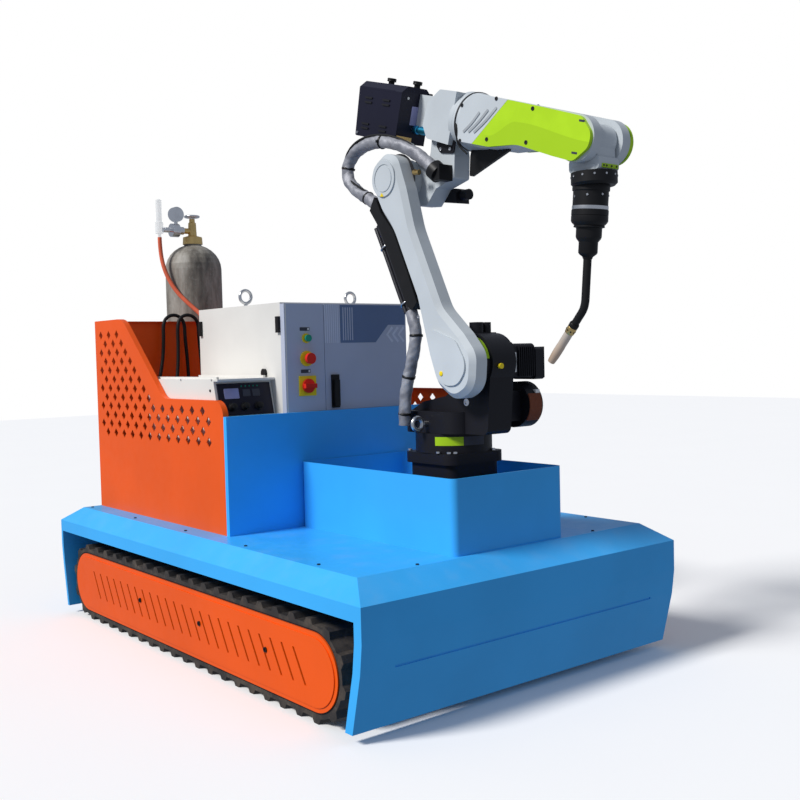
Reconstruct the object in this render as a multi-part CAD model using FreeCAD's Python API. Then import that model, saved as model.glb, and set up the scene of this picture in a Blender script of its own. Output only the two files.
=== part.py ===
"""Tracked welding robot: a six-axis arm on a crawler carrier with its cabinet,
power source and gas bottle.

Frame: millimetres, +X forward, +Y to the left of travel, +Z up. The origin is
on the ground under the middle of the machine.
"""
import FreeCAD, Part
import math
import os

from FreeCAD import Vector

os.makedirs("parts", exist_ok=True)

# ---------------------------------------------------------------- carrier
DECK_LENGTH = 1827.0
DECK_WIDTH = 1160.0
DECK_FRONT_X = 835.0
RIM_BOTTOM_Z = 295.5
RIM_HEIGHT = 39.0
DECK_TOP_Z = 382.3
CHAMFER_X = 84.0
CHAMFER_Y = 54.0
NOTCH_WIDTH = 250.0
NOTCH_DEPTH = 97.0

APRON_THICKNESS = 29.0
APRON_LEAN = 45.0
REAR_APRON_THICKNESS = 14.0
REAR_APRON_LEAN = 36.0
APRON_BOTTOM_Z = 27.0
APRON_BEND_Z = 175.0
APRON_BEND_X = 9.0
GROOVE_Z = 177.0
GROOVE_HEIGHT = 6.0
GROOVE_DEPTH = 3.0
GROOVE_INSET = 103.0

TRACK_TIP_RADIUS = 130.0
TRACK_FRONT_X = 604.0
TRACK_REAR_X = -817.0
TRACK_OUTER_Y = 555.0
TRACK_WIDTH = 205.0
BELT_THICKNESS = 11.0
LUG_HEIGHT = 14.0
LUG_COUNT = 46
LUG_BASE = 40.0
LUG_TIP = 20.0
COVER_RADIUS = 100.0
COVER_THICKNESS = 4.0
COVER_STEP = 3.0
COVER_RIM = 12.0
LOUVRE_COUNT = 24
LOUVRE_PITCH = 55.2
LOUVRE_WIDTH = 9.0
LOUVRE_LEAN = 53.0
LOUVRE_LOW_Z = 88.0
LOUVRE_HIGH_Z = 176.0

CHASSIS_WIDTH = 660.0
CHASSIS_FRONT_X = 740.0
CHASSIS_REAR_X = -850.0
CHASSIS_BOTTOM_Z = 60.0

# ---------------------------------------------------------------- bodywork
TRAY_REAR_X = 35.3
TRAY_FRONT_X = 739.5
TRAY_WIDTH = 412.0
TRAY_TOP_Z = 583.5
TRAY_WALL = 4.0
TRAY_CORNER = 20.0
BULKHEAD_THICKNESS = 17.0
BULKHEAD_TOP_Z = 735.0
BIN_WIDTH = 922.6
BIN_REAR_X = -903.0
BIN_TOP_Z = 1051.0
BIN_SHELF_Z = 782.0
BIN_SHEET = 3.0
BIN_FLANGE = 18.0
SLOPE_TOP_X = -668.0
SLOPE_LOW_X = -371.0
HOLE_ACROSS = 32.0
HOLE_PITCH_X = 67.6
HOLE_PITCH_Z = 31.2
HOLE_FIRST_X = -853.0
HOLE_FIRST_Z = 998.0
HOLE_ROWS = 12
HOLE_EDGE = 55.0

CABINET_WIDTH = 480.0
CABINET_DEPTH = 544.0
CABINET_TOP_Z = 1075.0
CABINET_FRONT_X = 17.0
DOOR_THICKNESS = 22.0
STRIP_WIDTH = 146.0
DOOR_GAP = 2.0
DOOR_MARGIN = 5.0
BUTTON_Y = -162.0
START_Z = 963.0
STOP_Z = 900.0
ISOLATOR_Z = 815.0
STEM_RADIUS = 7.0
STEM_CLEARANCE = 0.6

SOURCE_FRONT_X = -45.0
SOURCE_REAR_X = -520.0
SOURCE_LOW_Y = -442.0
SOURCE_WIDTH = 200.0
SOURCE_TOP_Z = 838.0
SOURCE_PANEL_LOW_Z = 733.0

BOTTLE_RADIUS = 109.5
BOTTLE_FOOT_Z = 50.0
BOTTLE_SHOULDER_Z = 1260.0
BOTTLE_NECK_Z = 1360.0
BOTTLE_GAP = 0.3
RACK_PLATE = 6.0

# ---------------------------------------------------------------- robot
J1_X = 515.0
J2_X = 665.0
J2_Z = 880.0
LINK_X = -263.0
LINK_Z = 520.0
ELBOW_OFFSET = 192.0
FOREARM_LENGTH = 616.0
FOREARM_PITCH = 16.6
BASE_HALF = 105.0
BASE_TOP_Z = 630.0
RING_RADIUS = 108.5
RING_TOP_Z = 685.0
JOINT_GAP = 0.4
ARM_OUTER_Y = -140.0
ARM_INNER_Y = -88.0
ARM_FOOT_RADIUS = 84.0
GUARD_EDGE = -94.0
DRUM_RADIUS = 78.0
DRUM_INNER_Y = 27.0
DRUM_OUTER_Y = -60.0
MOTOR_SIDE = 104.0
MOTOR_LENGTH = 136.0
SEAM_RADIUS = 78.0
FORK_OUTER_Y = 76.0
FORK_INNER_Y = 38.0
FORK_RADIUS = 56.0
COVER_PLATE = 10.0
HAND_HALF_Y = 33.0
WEB_BACK_Y = 6.0
HAND_BOTTOM_Z = 1333.0
FLANGE_RADIUS = 56.0
NECK_TUBE_RADIUS = 11.0
NECK_BEND_Z = 1030.0
NECK_ANGLE = 39.0
NOZZLE_RADIUS = 12.0
NOZZLE_START = 100.0
NOZZLE_LENGTH = 98.0
TORCH_X = 1045.0

# ---------------------------------------------------------------- derived
DECK_REAR_X = DECK_FRONT_X - DECK_LENGTH
DECK_HALF = DECK_WIDTH / 2
RIM_TOP_Z = RIM_BOTTOM_Z + RIM_HEIGHT
TRACK_INNER_Y = TRACK_OUTER_Y - TRACK_WIDTH
BELT_OUTER = TRACK_TIP_RADIUS - LUG_HEIGHT
BELT_INNER = BELT_OUTER - BELT_THICKNESS
BIN_HALF = BIN_WIDTH / 2
BULKHEAD_REAR_X = TRAY_REAR_X - BULKHEAD_THICKNESS
BOTTLE_X = BIN_REAR_X - BOTTLE_GAP - BOTTLE_RADIUS
CABINET_HALF = CABINET_WIDTH / 2
CABINET_BODY_X = CABINET_FRONT_X - DOOR_THICKNESS
J3_X = J2_X + LINK_X
J3_Z = J2_Z + LINK_Z
LINK_LENGTH = math.hypot(LINK_X, LINK_Z)
PITCH = math.radians(FOREARM_PITCH)
J4_X = J3_X + ELBOW_OFFSET * math.sin(PITCH)
J4_Z = J3_Z + ELBOW_OFFSET * math.cos(PITCH)
J5_X = J4_X + FOREARM_LENGTH * math.cos(PITCH)
J5_Z = J4_Z - FOREARM_LENGTH * math.sin(PITCH)
TRAY_FLOOR_Z = DECK_TOP_Z + TRAY_WALL


# ---------------------------------------------------------------- helpers
def box(low, high):
    size = [b - a for a, b in zip(low, high)]
    return Part.makeBox(size[0], size[1], size[2], Vector(*low))


def rod(start, along, radius, length):
    return Part.makeCylinder(radius, length, Vector(*start), Vector(*along))


def rod_y(x, z, radius, low, high):
    return rod((x, low, z), (0, 1, 0), radius, high - low)


def rod_z(x, y, radius, low, high):
    return rod((x, y, low), (0, 0, 1), radius, high - low)


def rod_x(y, z, radius, low, high):
    return rod((low, y, z), (1, 0, 0), radius, high - low)


def fused(shapes):
    return shapes[0].multiFuse(shapes[1:]).removeSplitter()


def corner_arc(before, corner, after, radius):
    """Both ends and the middle of the arc that rounds one corner of an outline."""
    back = (before - corner).normalize()
    ahead = (after - corner).normalize()
    half = back.getAngle(ahead) / 2
    reach = radius / math.tan(half)
    start = corner + back * reach
    end = corner + ahead * reach
    centre = corner + (back + ahead).normalize() * (radius / math.sin(half))
    middle = centre + (corner - centre).normalize() * radius
    return start, middle, end


def outline(points):
    """A closed face from (a, b) or (a, b, radius) corners in the XY plane."""
    corners = [Vector(p[0], p[1], 0) for p in points]
    edges = []
    joints = []
    for index, point in enumerate(points):
        corner = corners[index]
        if len(point) == 2:
            joints.append((corner, None, corner))
            continue
        before = corners[index - 1]
        after = corners[(index + 1) % len(points)]
        joints.append(corner_arc(before, corner, after, point[2]))
    for index, (start, middle, end) in enumerate(joints):
        if middle is not None:
            edges.append(Part.Arc(start, middle, end).toShape())
        following = joints[(index + 1) % len(joints)][0]
        if (following - end).Length > 1e-4:
            edges.append(Part.LineSegment(end, following).toShape())
    return Part.Face(Part.Wire(edges))


def slab(face, low, high):
    """An outline drawn as (x, z), made solid from y = low to y = high."""
    solid = face.extrude(Vector(0, 0, low - high))
    solid.rotate(Vector(0, 0, 0), Vector(1, 0, 0), 90)
    solid.translate(Vector(0, low, 0))
    return solid


def plate_z(face, low, high):
    solid = face.extrude(Vector(0, 0, high - low))
    solid.translate(Vector(0, 0, low))
    return solid


def capsule(radius, low_x, high_x, z):
    """A stadium outline whose round ends are centred on low_x and high_x."""
    top = z + radius
    foot = z - radius
    right = Part.Arc(Vector(high_x, foot, 0), Vector(high_x + radius, z, 0), Vector(high_x, top, 0))
    left = Part.Arc(Vector(low_x, top, 0), Vector(low_x - radius, z, 0), Vector(low_x, foot, 0))
    upper = Part.LineSegment(Vector(high_x, top, 0), Vector(low_x, top, 0))
    lower = Part.LineSegment(Vector(low_x, foot, 0), Vector(high_x, foot, 0))
    return Part.Face(Part.Wire([right.toShape(), upper.toShape(), left.toShape(), lower.toShape()]))


def lathe(profile, x, y):
    """A solid of revolution about a vertical line from (radius, z) points."""
    points = [Vector(r, 0, z) for r, z in profile]
    face = Part.Face(Part.makePolygon(points + [points[0]]))
    solid = face.revolve(Vector(0, 0, 0), Vector(0, 0, 1), 360)
    solid.translate(Vector(x, y, 0))
    return solid


def tube(points, radius, name):
    """A round cord along straight runs, with an arc as large as each pair of runs allows."""
    nodes = [Vector(*p) for p in points]
    edges = []
    radii = []
    here = nodes[0]
    for before, corner, after in zip(nodes, nodes[1:], nodes[2:]):
        back = before - corner
        ahead = after - corner
        shorter = min(back.Length, ahead.Length)
        half = back.getAngle(ahead) / 2
        bend = 0.45 * shorter * math.tan(half)
        start, middle, end = corner_arc(before, corner, after, bend)
        edges.append(Part.LineSegment(here, start).toShape())
        edges.append(Part.Arc(start, middle, end).toShape())
        radii.append(round(bend))
        here = end
    edges.append(Part.LineSegment(here, nodes[-1]).toShape())
    path = Part.Wire(edges)
    section = Part.Wire([Part.makeCircle(radius, nodes[0], nodes[1] - nodes[0])])
    solid = path.makePipeShell([section], True, False)
    drift = solid.Volume / (math.pi * radius ** 2 * path.Length)
    print(name, "bend radii", radii, "volume ratio", round(drift, 4))
    return solid


def ring_bolt(x, y, z, ring_radius, wire_radius):
    """An eye bolt that stands on a flat top at height z."""
    shank = rod_z(x, y, wire_radius * 1.2, z, z + wire_radius * 2.5)
    eye = Part.makeTorus(ring_radius, wire_radius, Vector(x, y, z + wire_radius * 2 + ring_radius),
                         Vector(1, 0, 0))
    return fused([shank, eye])


def on_forearm(shape):
    """Moves a shape drawn along the forearm axis, from the J4 origin, to its seat."""
    shape.rotate(Vector(0, 0, 0), Vector(0, 1, 0), FOREARM_PITCH)
    shape.translate(Vector(J4_X, 0, J4_Z))
    return shape


def on_link(shape):
    """Moves a shape drawn with x across and z along the lower arm to its seat."""
    angle = math.degrees(math.atan2(LINK_X, LINK_Z))
    shape.rotate(Vector(0, 0, 0), Vector(0, 1, 0), angle)
    shape.translate(Vector(J2_X, 0, J2_Z))
    return shape


def mirrored(shape):
    return shape.mirror(Vector(0, 0, 0), Vector(0, 1, 0))


# ---------------------------------------------------------------- carrier parts
def chassis_frame():
    half = CHASSIS_WIDTH / 2
    return box((CHASSIS_REAR_X, -half, CHASSIS_BOTTOM_Z), (CHASSIS_FRONT_X, half, RIM_BOTTOM_Z))


def deck_cover():
    rim = box((DECK_REAR_X, -DECK_HALF, RIM_BOTTOM_Z), (DECK_FRONT_X, DECK_HALF, RIM_TOP_Z))
    loops = []
    for inset_x, inset_y, z in ((0, 0, RIM_TOP_Z), (CHAMFER_X, CHAMFER_Y, DECK_TOP_Z)):
        low = Vector(DECK_REAR_X + inset_x, -DECK_HALF + inset_y, z)
        high = Vector(DECK_FRONT_X - inset_x, DECK_HALF - inset_y, z)
        corners = [low, Vector(high.x, low.y, z), high, Vector(low.x, high.y, z), low]
        loops.append(Part.makePolygon(corners))
    crown = Part.makeLoft(loops, True, True)
    notch = box((DECK_REAR_X - 1, -NOTCH_WIDTH / 2, RIM_BOTTOM_Z - 1),
                (DECK_REAR_X + NOTCH_DEPTH, NOTCH_WIDTH / 2, DECK_TOP_Z + 1))
    return fused([rim, crown]).cut(notch)


def apron_profile(front_x, direction, lean, thickness):
    """The bent blade, whose foot leans in under the deck."""
    foot = front_x - direction * lean
    bend = front_x - direction * APRON_BEND_X
    inward = -direction * thickness
    return outline([
        (front_x, RIM_BOTTOM_Z),
        (front_x, RIM_BOTTOM_Z - 50, 90),
        (bend, APRON_BEND_Z, 120),
        (foot, APRON_BOTTOM_Z),
        (foot + inward, APRON_BOTTOM_Z),
        (bend + inward, APRON_BEND_Z, 120),
        (front_x + inward, RIM_BOTTOM_Z - 50, 90),
        (front_x + inward, RIM_BOTTOM_Z),
    ])


def front_apron():
    blade = slab(apron_profile(DECK_FRONT_X, 1, APRON_LEAN, APRON_THICKNESS), -DECK_HALF, DECK_HALF)
    outer = DECK_FRONT_X - APRON_BEND_X
    groove = box((outer - GROOVE_DEPTH, -DECK_HALF + GROOVE_INSET, GROOVE_Z - GROOVE_HEIGHT / 2),
                 (DECK_FRONT_X, DECK_HALF - GROOVE_INSET, GROOVE_Z + GROOVE_HEIGHT / 2))
    return blade.cut(groove)


def rear_aprons():
    """Two blades, with a gap between them for the bottle rack."""
    gap = NOTCH_WIDTH / 2 + 5
    face = apron_profile(DECK_REAR_X, -1, REAR_APRON_LEAN, REAR_APRON_THICKNESS)
    right = slab(face, -DECK_HALF, -gap)
    return Part.makeCompound([right, mirrored(right)])


def track_belt():
    """The rubber loop on the right-hand side, with one bar lug per pitch."""
    mid = TRACK_TIP_RADIUS
    outer = slab(capsule(BELT_OUTER, TRACK_REAR_X, TRACK_FRONT_X, mid), -TRACK_OUTER_Y, -TRACK_INNER_Y)
    inner = slab(capsule(BELT_INNER, TRACK_REAR_X, TRACK_FRONT_X, mid), -TRACK_OUTER_Y, -TRACK_INNER_Y)
    lug_face = outline([(-LUG_BASE / 2, -2), (LUG_BASE / 2, -2), (LUG_TIP / 2, LUG_HEIGHT),
                        (-LUG_TIP / 2, LUG_HEIGHT)])
    lug = slab(lug_face, -TRACK_OUTER_Y, -TRACK_INNER_Y)
    run = TRACK_FRONT_X - TRACK_REAR_X
    turn = math.pi * BELT_OUTER
    pitch = (run + turn) * 2 / LUG_COUNT
    lugs = []
    for index in range(LUG_COUNT):
        lugs.append(seat_on_loop(lug.copy(), index * pitch, run, turn, mid))
    return outer.cut(inner).multiFuse(lugs)


def seat_on_loop(lug, travel, run, turn, mid):
    """Turns and moves one lug to its place at a distance along the loop."""
    if travel < run:
        angle, x, z = 0, TRACK_REAR_X + travel, mid + BELT_OUTER
    elif travel < run + turn:
        angle = math.degrees((travel - run) / BELT_OUTER)
        x = TRACK_FRONT_X + BELT_OUTER * math.sin(math.radians(angle))
        z = mid + BELT_OUTER * math.cos(math.radians(angle))
    elif travel < 2 * run + turn:
        angle, x, z = 180, TRACK_FRONT_X - (travel - run - turn), mid - BELT_OUTER
    else:
        angle = 180 + math.degrees((travel - 2 * run - turn) / BELT_OUTER)
        x = TRACK_REAR_X + BELT_OUTER * math.sin(math.radians(angle))
        z = mid + BELT_OUTER * math.cos(math.radians(angle))
    lug.rotate(Vector(0, 0, 0), Vector(0, 1, 0), angle)
    lug.translate(Vector(x, 0, z))
    return lug


def track_frame():
    """The closed side frame that the belt runs round."""
    radius = BELT_INNER - 0.3
    face = capsule(radius, TRACK_REAR_X, TRACK_FRONT_X, TRACK_TIP_RADIUS)
    return slab(face, -TRACK_OUTER_Y + 2, -CHASSIS_WIDTH / 2)


def track_cover():
    inner_y = -TRACK_OUTER_Y + 2
    rim_y = inner_y - COVER_THICKNESS
    face_y = rim_y - COVER_STEP
    mid = TRACK_TIP_RADIUS
    base = slab(capsule(COVER_RADIUS, TRACK_REAR_X, TRACK_FRONT_X, mid), rim_y, inner_y)
    step = slab(capsule(COVER_RADIUS - COVER_RIM, TRACK_REAR_X, TRACK_FRONT_X, mid), face_y, rim_y)
    slots = []
    first_x = TRACK_REAR_X + 58
    for index in range(LOUVRE_COUNT):
        x = first_x + index * LOUVRE_PITCH
        face = outline([(x, LOUVRE_HIGH_Z), (x + LOUVRE_LEAN, LOUVRE_LOW_Z),
                        (x + LOUVRE_LEAN + LOUVRE_WIDTH, LOUVRE_LOW_Z), (x + LOUVRE_WIDTH, LOUVRE_HIGH_Z)])
        slots.append(slab(face, face_y - 1, inner_y + 1))
    return fused([base, step]).cut(slots)


def robot_tray():
    half = TRAY_WIDTH / 2
    corners = [(TRAY_REAR_X, -half, TRAY_CORNER), (TRAY_FRONT_X, -half, TRAY_CORNER),
               (TRAY_FRONT_X, half, TRAY_CORNER), (TRAY_REAR_X, half, TRAY_CORNER)]
    inside = [(TRAY_REAR_X + TRAY_WALL, -half + TRAY_WALL, TRAY_CORNER - TRAY_WALL),
              (TRAY_FRONT_X - TRAY_WALL, -half + TRAY_WALL, TRAY_CORNER - TRAY_WALL),
              (TRAY_FRONT_X - TRAY_WALL, half - TRAY_WALL, TRAY_CORNER - TRAY_WALL),
              (TRAY_REAR_X + TRAY_WALL, half - TRAY_WALL, TRAY_CORNER - TRAY_WALL)]
    shell = plate_z(outline(corners), DECK_TOP_Z, TRAY_TOP_Z)
    return shell.cut(plate_z(outline(inside), TRAY_FLOOR_Z, TRAY_TOP_Z + 1))


def bulkhead():
    return box((BULKHEAD_REAR_X, -BIN_HALF, DECK_TOP_Z), (TRAY_REAR_X, BIN_HALF, BULKHEAD_TOP_Z))


def bin_outline(inset):
    front = BULKHEAD_REAR_X - inset
    return outline([
        (BIN_REAR_X + inset, DECK_TOP_Z + inset),
        (front, DECK_TOP_Z + inset),
        (front, BIN_SHELF_Z - inset, 50 - inset),
        (SLOPE_LOW_X + 0.55 * inset, BIN_SHELF_Z - inset, 60),
        (SLOPE_TOP_X - 0.4 * inset, BIN_TOP_Z - inset, 90),
        (BIN_REAR_X + inset, BIN_TOP_Z - inset),
    ])


def bin_holes():
    """Centres of the staggered diamond holes that fit inside the sloping side."""
    slope = (SLOPE_LOW_X - SLOPE_TOP_X) / (BIN_TOP_Z - BIN_SHELF_Z)
    centres = []
    for row in range(HOLE_ROWS):
        z = HOLE_FIRST_Z - row * HOLE_PITCH_Z
        limit = SLOPE_TOP_X + (BIN_TOP_Z - z) * slope - 30
        if z < BIN_SHELF_Z - 20:
            limit = BULKHEAD_REAR_X - 20
        x = HOLE_FIRST_X + (row % 2) * HOLE_PITCH_X * 0.53
        while x < limit - HOLE_EDGE and x < BULKHEAD_REAR_X - 80:
            centres.append((x, z))
            x += HOLE_PITCH_X
    return centres


def bin_side():
    """The perforated side panel with its folded edge, on the right-hand side."""
    outer = slab(bin_outline(0), -BIN_HALF, -BIN_HALF + BIN_FLANGE)
    hollow = slab(bin_outline(BIN_SHEET), -BIN_HALF + BIN_SHEET, -BIN_HALF + BIN_FLANGE + 1)
    half = HOLE_ACROSS / 2
    cutters = []
    for x, z in bin_holes():
        face = outline([(x - half, z), (x, z - half), (x + half, z), (x, z + half)])
        cutters.append(slab(face, -BIN_HALF - 1, -BIN_HALF + BIN_SHEET + 1))
    return outer.cut(hollow).cut(cutters)


def bin_rear_panel():
    half = BIN_HALF - BIN_FLANGE
    sheet = box((BIN_REAR_X, -half, DECK_TOP_Z), (BIN_REAR_X + BIN_SHEET, half, BIN_TOP_Z))
    flange = box((BIN_REAR_X, -half, BIN_TOP_Z - BIN_SHEET), (BIN_REAR_X + BIN_FLANGE, half, BIN_TOP_Z))
    return fused([sheet, flange])


# ---------------------------------------------------------------- cabinet parts
def control_cabinet():
    return box((CABINET_FRONT_X - CABINET_DEPTH, -CABINET_HALF, DECK_TOP_Z),
               (CABINET_BODY_X, CABINET_HALF, CABINET_TOP_Z))


def control_strip():
    plate = box((CABINET_BODY_X, -CABINET_HALF, DECK_TOP_Z + DOOR_MARGIN),
                (CABINET_FRONT_X, -CABINET_HALF + STRIP_WIDTH, CABINET_TOP_Z - DOOR_MARGIN))
    holes = []
    for z in (START_Z, STOP_Z, ISOLATOR_Z):
        holes.append(rod_x(BUTTON_Y, z, STEM_RADIUS + STEM_CLEARANCE, CABINET_BODY_X, CABINET_FRONT_X))
    return plate.cut(holes)


def cabinet_door():
    return box((CABINET_BODY_X, -CABINET_HALF + STRIP_WIDTH + DOOR_GAP, DECK_TOP_Z + DOOR_MARGIN),
               (CABINET_FRONT_X, CABINET_HALF, CABINET_TOP_Z - DOOR_MARGIN))


def door_handle():
    low_y = -CABINET_HALF + STRIP_WIDTH + DOOR_GAP + 21
    base = box((CABINET_FRONT_X, low_y, 742), (CABINET_FRONT_X + 6, low_y + 29, 847))
    lever = box((CABINET_FRONT_X + 6, low_y + 5, 748), (CABINET_FRONT_X + 16, low_y + 24, 830))
    return fused([base, lever])


def collar(z, outer, depth):
    ring = rod_x(BUTTON_Y, z, outer, CABINET_FRONT_X, CABINET_FRONT_X + depth)
    bore = rod_x(BUTTON_Y, z, STEM_RADIUS + STEM_CLEARANCE, CABINET_FRONT_X, CABINET_FRONT_X + depth)
    return ring.cut(bore)


def switch_collars():
    """Start collar, yellow stop ring and isolator plate, one solid each."""
    start = collar(START_Z, 15, 4)
    stop = collar(STOP_Z, 24, 5)
    plate = box((CABINET_FRONT_X, BUTTON_Y - 31, ISOLATOR_Z - 31),
                (CABINET_FRONT_X + 5, BUTTON_Y + 31, ISOLATOR_Z + 31))
    bore = rod_x(BUTTON_Y, ISOLATOR_Z, STEM_RADIUS + STEM_CLEARANCE, CABINET_FRONT_X, CABINET_FRONT_X + 5)
    return Part.makeCompound([start, stop, plate.cut(bore)])


def start_button():
    stem = rod_x(BUTTON_Y, START_Z, STEM_RADIUS, CABINET_FRONT_X - 12, CABINET_FRONT_X + 10)
    head = rod_x(BUTTON_Y, START_Z, 11, CABINET_FRONT_X + 10, CABINET_FRONT_X + 17)
    return fused([stem, head])


def emergency_stop():
    stem = rod_x(BUTTON_Y, STOP_Z, STEM_RADIUS, CABINET_FRONT_X - 12, CABINET_FRONT_X + 17)
    head = rod_x(BUTTON_Y, STOP_Z, 17, CABINET_FRONT_X + 17, CABINET_FRONT_X + 29)
    return fused([stem, head])


def isolator_knob():
    face_x = CABINET_FRONT_X + 5.6
    stem = rod_x(BUTTON_Y, ISOLATOR_Z, STEM_RADIUS, CABINET_FRONT_X - 12, face_x)
    disc = rod_x(BUTTON_Y, ISOLATOR_Z, 22, face_x, face_x + 7)
    grip = box((face_x + 7, BUTTON_Y - 21, ISOLATOR_Z - 7), (face_x + 20, BUTTON_Y + 21, ISOLATOR_Z + 7))
    return fused([stem, disc, grip])


def cabinet_lifting_eyes():
    eyes = [ring_bolt(-256, side * 212, CABINET_TOP_Z, 21, 5) for side in (-1, 1)]
    return Part.makeCompound(eyes)


def cabinet_fittings():
    """The door handle, and two hinge blocks and a round plug on the right-hand side."""
    face = -CABINET_HALF
    rear = box((-520, face - 9, 985), (-504, face, 1035))
    front = box((-21, face - 9, 982), (-5, face, 1032))
    plug = rod_y(-103, 858, 13, face - 8, face)
    return Part.makeCompound([door_handle(), rear, front, plug])


# ---------------------------------------------------------------- welding set
def power_source():
    front = SOURCE_FRONT_X
    high_y = SOURCE_LOW_Y + SOURCE_WIDTH
    face = outline([
        (SOURCE_REAR_X, DECK_TOP_Z), (front, DECK_TOP_Z), (front, SOURCE_PANEL_LOW_Z),
        (front - 24, SOURCE_TOP_Z - 8), (front - 24, SOURCE_TOP_Z), (SOURCE_REAR_X, SOURCE_TOP_Z)])
    return slab(face, SOURCE_LOW_Y, high_y)


def power_source_panel():
    front = SOURCE_FRONT_X
    face = outline([(front, SOURCE_PANEL_LOW_Z), (front + 5, SOURCE_PANEL_LOW_Z),
                    (front - 19, SOURCE_TOP_Z - 8), (front - 24, SOURCE_TOP_Z - 8)])
    return slab(face, SOURCE_LOW_Y + 8, SOURCE_LOW_Y + SOURCE_WIDTH - 8)


def power_source_top():
    """The folded lid that overhangs the control panel, with its low rails."""
    low_y = SOURCE_LOW_Y
    high_y = SOURCE_LOW_Y + SOURCE_WIDTH
    lid = box((SOURCE_REAR_X, low_y, SOURCE_TOP_Z), (SOURCE_FRONT_X, high_y, SOURCE_TOP_Z + 6))
    rails = []
    for y in (low_y + 14, high_y - 22):
        rails.append(box((SOURCE_REAR_X + 20, y, SOURCE_TOP_Z + 6), (SOURCE_FRONT_X - 30, y + 8, SOURCE_TOP_Z + 13)))
    return fused([lid] + rails)


def gas_bottle():
    shoulder = BOTTLE_SHOULDER_Z
    neck = BOTTLE_NECK_Z
    radius = BOTTLE_RADIUS
    profile = [(0, BOTTLE_FOOT_Z), (radius - 12, BOTTLE_FOOT_Z), (radius, BOTTLE_FOOT_Z + 14), (radius, shoulder)]
    for step in range(1, 7):
        angle = math.radians(step * 12)
        profile.append((radius * math.cos(angle), shoulder + (neck - shoulder) * math.sin(angle)))
    profile += [(34, neck), (0, neck)]
    return lathe(profile, BOTTLE_X, 0)


def bottle_valve():
    z = BOTTLE_NECK_Z
    body = lathe([(0, z), (39, z), (37, z + 28), (17, z + 34), (15, z + 84), (11, z + 88), (11, z + 100), (0, z + 100)],
                 BOTTLE_X, 0)
    outlet = rod_y(BOTTLE_X, z + 52, 11, -40, 0)
    return fused([body, outlet])


def bottle_handwheel():
    z = BOTTLE_NECK_Z + 100.5
    hub = rod_z(BOTTLE_X, 0, 9, z, z + 16)
    rim = Part.makeTorus(26, 4.5, Vector(BOTTLE_X, 0, z + 9), Vector(0, 0, 1))
    spokes = [rod((BOTTLE_X, 0, z + 9), (math.cos(a), math.sin(a), 0), 3, 26)
              for a in (math.radians(90 * k + 45) for k in range(4))]
    return fused([hub, rim] + spokes)


def gas_regulator():
    z = BOTTLE_NECK_Z + 52
    nut = rod_y(BOTTLE_X, z, 15, -62, -40.3)
    body = rod_y(BOTTLE_X, z, 26, -92, -62)
    stem = rod_z(BOTTLE_X, -70, 7, z + 20, z + 40)
    gauge = rod((BOTTLE_X - 9, -70, z + 62), (1, 0, 0), 29, 22)
    arm = rod_y(BOTTLE_X, z, 10, -126, -92)
    return fused([nut, body, stem, gauge, arm])


def flow_meter():
    z = BOTTLE_NECK_Z + 52
    foot = lathe([(0, z - 16), (15, z - 16), (15, z + 26), (11, z + 30), (11, z + 112), (5, z + 117), (0, z + 117)],
                 BOTTLE_X, -141.3)
    nipple = rod_z(BOTTLE_X, -141.3, 6, z - 30, z - 16)
    return fused([foot, nipple])


def bottle_rack():
    """The shelf behind the deck that the gas bottle stands on, with two side cheeks."""
    low_x = BOTTLE_X - BOTTLE_RADIUS - 8
    half = BOTTLE_RADIUS + 4
    shelf = box((low_x, -half - RACK_PLATE, BOTTLE_FOOT_Z - RACK_PLATE),
                (CHASSIS_REAR_X, half + RACK_PLATE, BOTTLE_FOOT_Z))
    back = box((CHASSIS_REAR_X - RACK_PLATE, -half, BOTTLE_FOOT_Z), (CHASSIS_REAR_X, half, RIM_BOTTOM_Z - 2))
    cheeks = []
    for y in (-half - RACK_PLATE, half):
        cheeks.append(box((low_x, y, BOTTLE_FOOT_Z), (CHASSIS_REAR_X, y + RACK_PLATE, RIM_BOTTOM_Z - 60)))
    return fused([shelf, back] + cheeks)


GAS_HOSE_RADIUS = 8.0
GAS_HOSE = [(BOTTLE_X, -141.3, 1382), (BOTTLE_X, -141.3, 1322), (-990, -134, 1242), (-956, -109, 1170),
            (-912, -74, 1116), (-866, -42, 1070), (-838, -34, 990), (-824, -50, 900), (-806, -96, 812),
            (-772, -154, 736), (-716, -212, 684), (-650, -270, 648), (-584, -320, 632),
            (SOURCE_REAR_X, -320, 632)]

CABLE_RADIUS = 6.5
ARCH_HALF = 44.0
ARCH_STEP = 18.2
ARCH_Z = 1030.0


def arch(x, y):
    """Four corners of a cable looped over at the top, from the right leg to the left."""
    return [(x, y - ARCH_HALF, ARCH_Z + ARCH_STEP), (x, y - ARCH_STEP, ARCH_Z + ARCH_HALF),
            (x, y + ARCH_STEP, ARCH_Z + ARCH_HALF), (x, y + ARCH_HALF, ARCH_Z + ARCH_STEP)]


CABLE_ONE = [(SOURCE_REAR_X, -400, 560), (-584, -400, 560), (-664, -378, 588), (-736, -342, 642),
             (-796, -298, 718), (-840, -252, 808), (-868, -216, 904), (-876, -206, 988)]
CABLE_ONE += arch(-876, -162) + [(-876, -118, 990), (-872, -112, 900), (-862, -114, 760), (-846, -118, 610),
                                 (-832, -118, 490), (-832, -118, DECK_TOP_Z)]
CABLE_TWO = [(SOURCE_REAR_X, -360, 500), (-584, -360, 500), (-660, -334, 526), (-726, -292, 580),
             (-778, -244, 658), (-818, -200, 752), (-846, -168, 856), (-858, -156, 944)]
CABLE_TWO += arch(-860, -112) + [(-860, -68, 990), (-856, -62, 890), (-844, -62, 760), (-826, -66, 610),
                                 (-812, -66, 490), (-812, -66, DECK_TOP_Z)]


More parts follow.
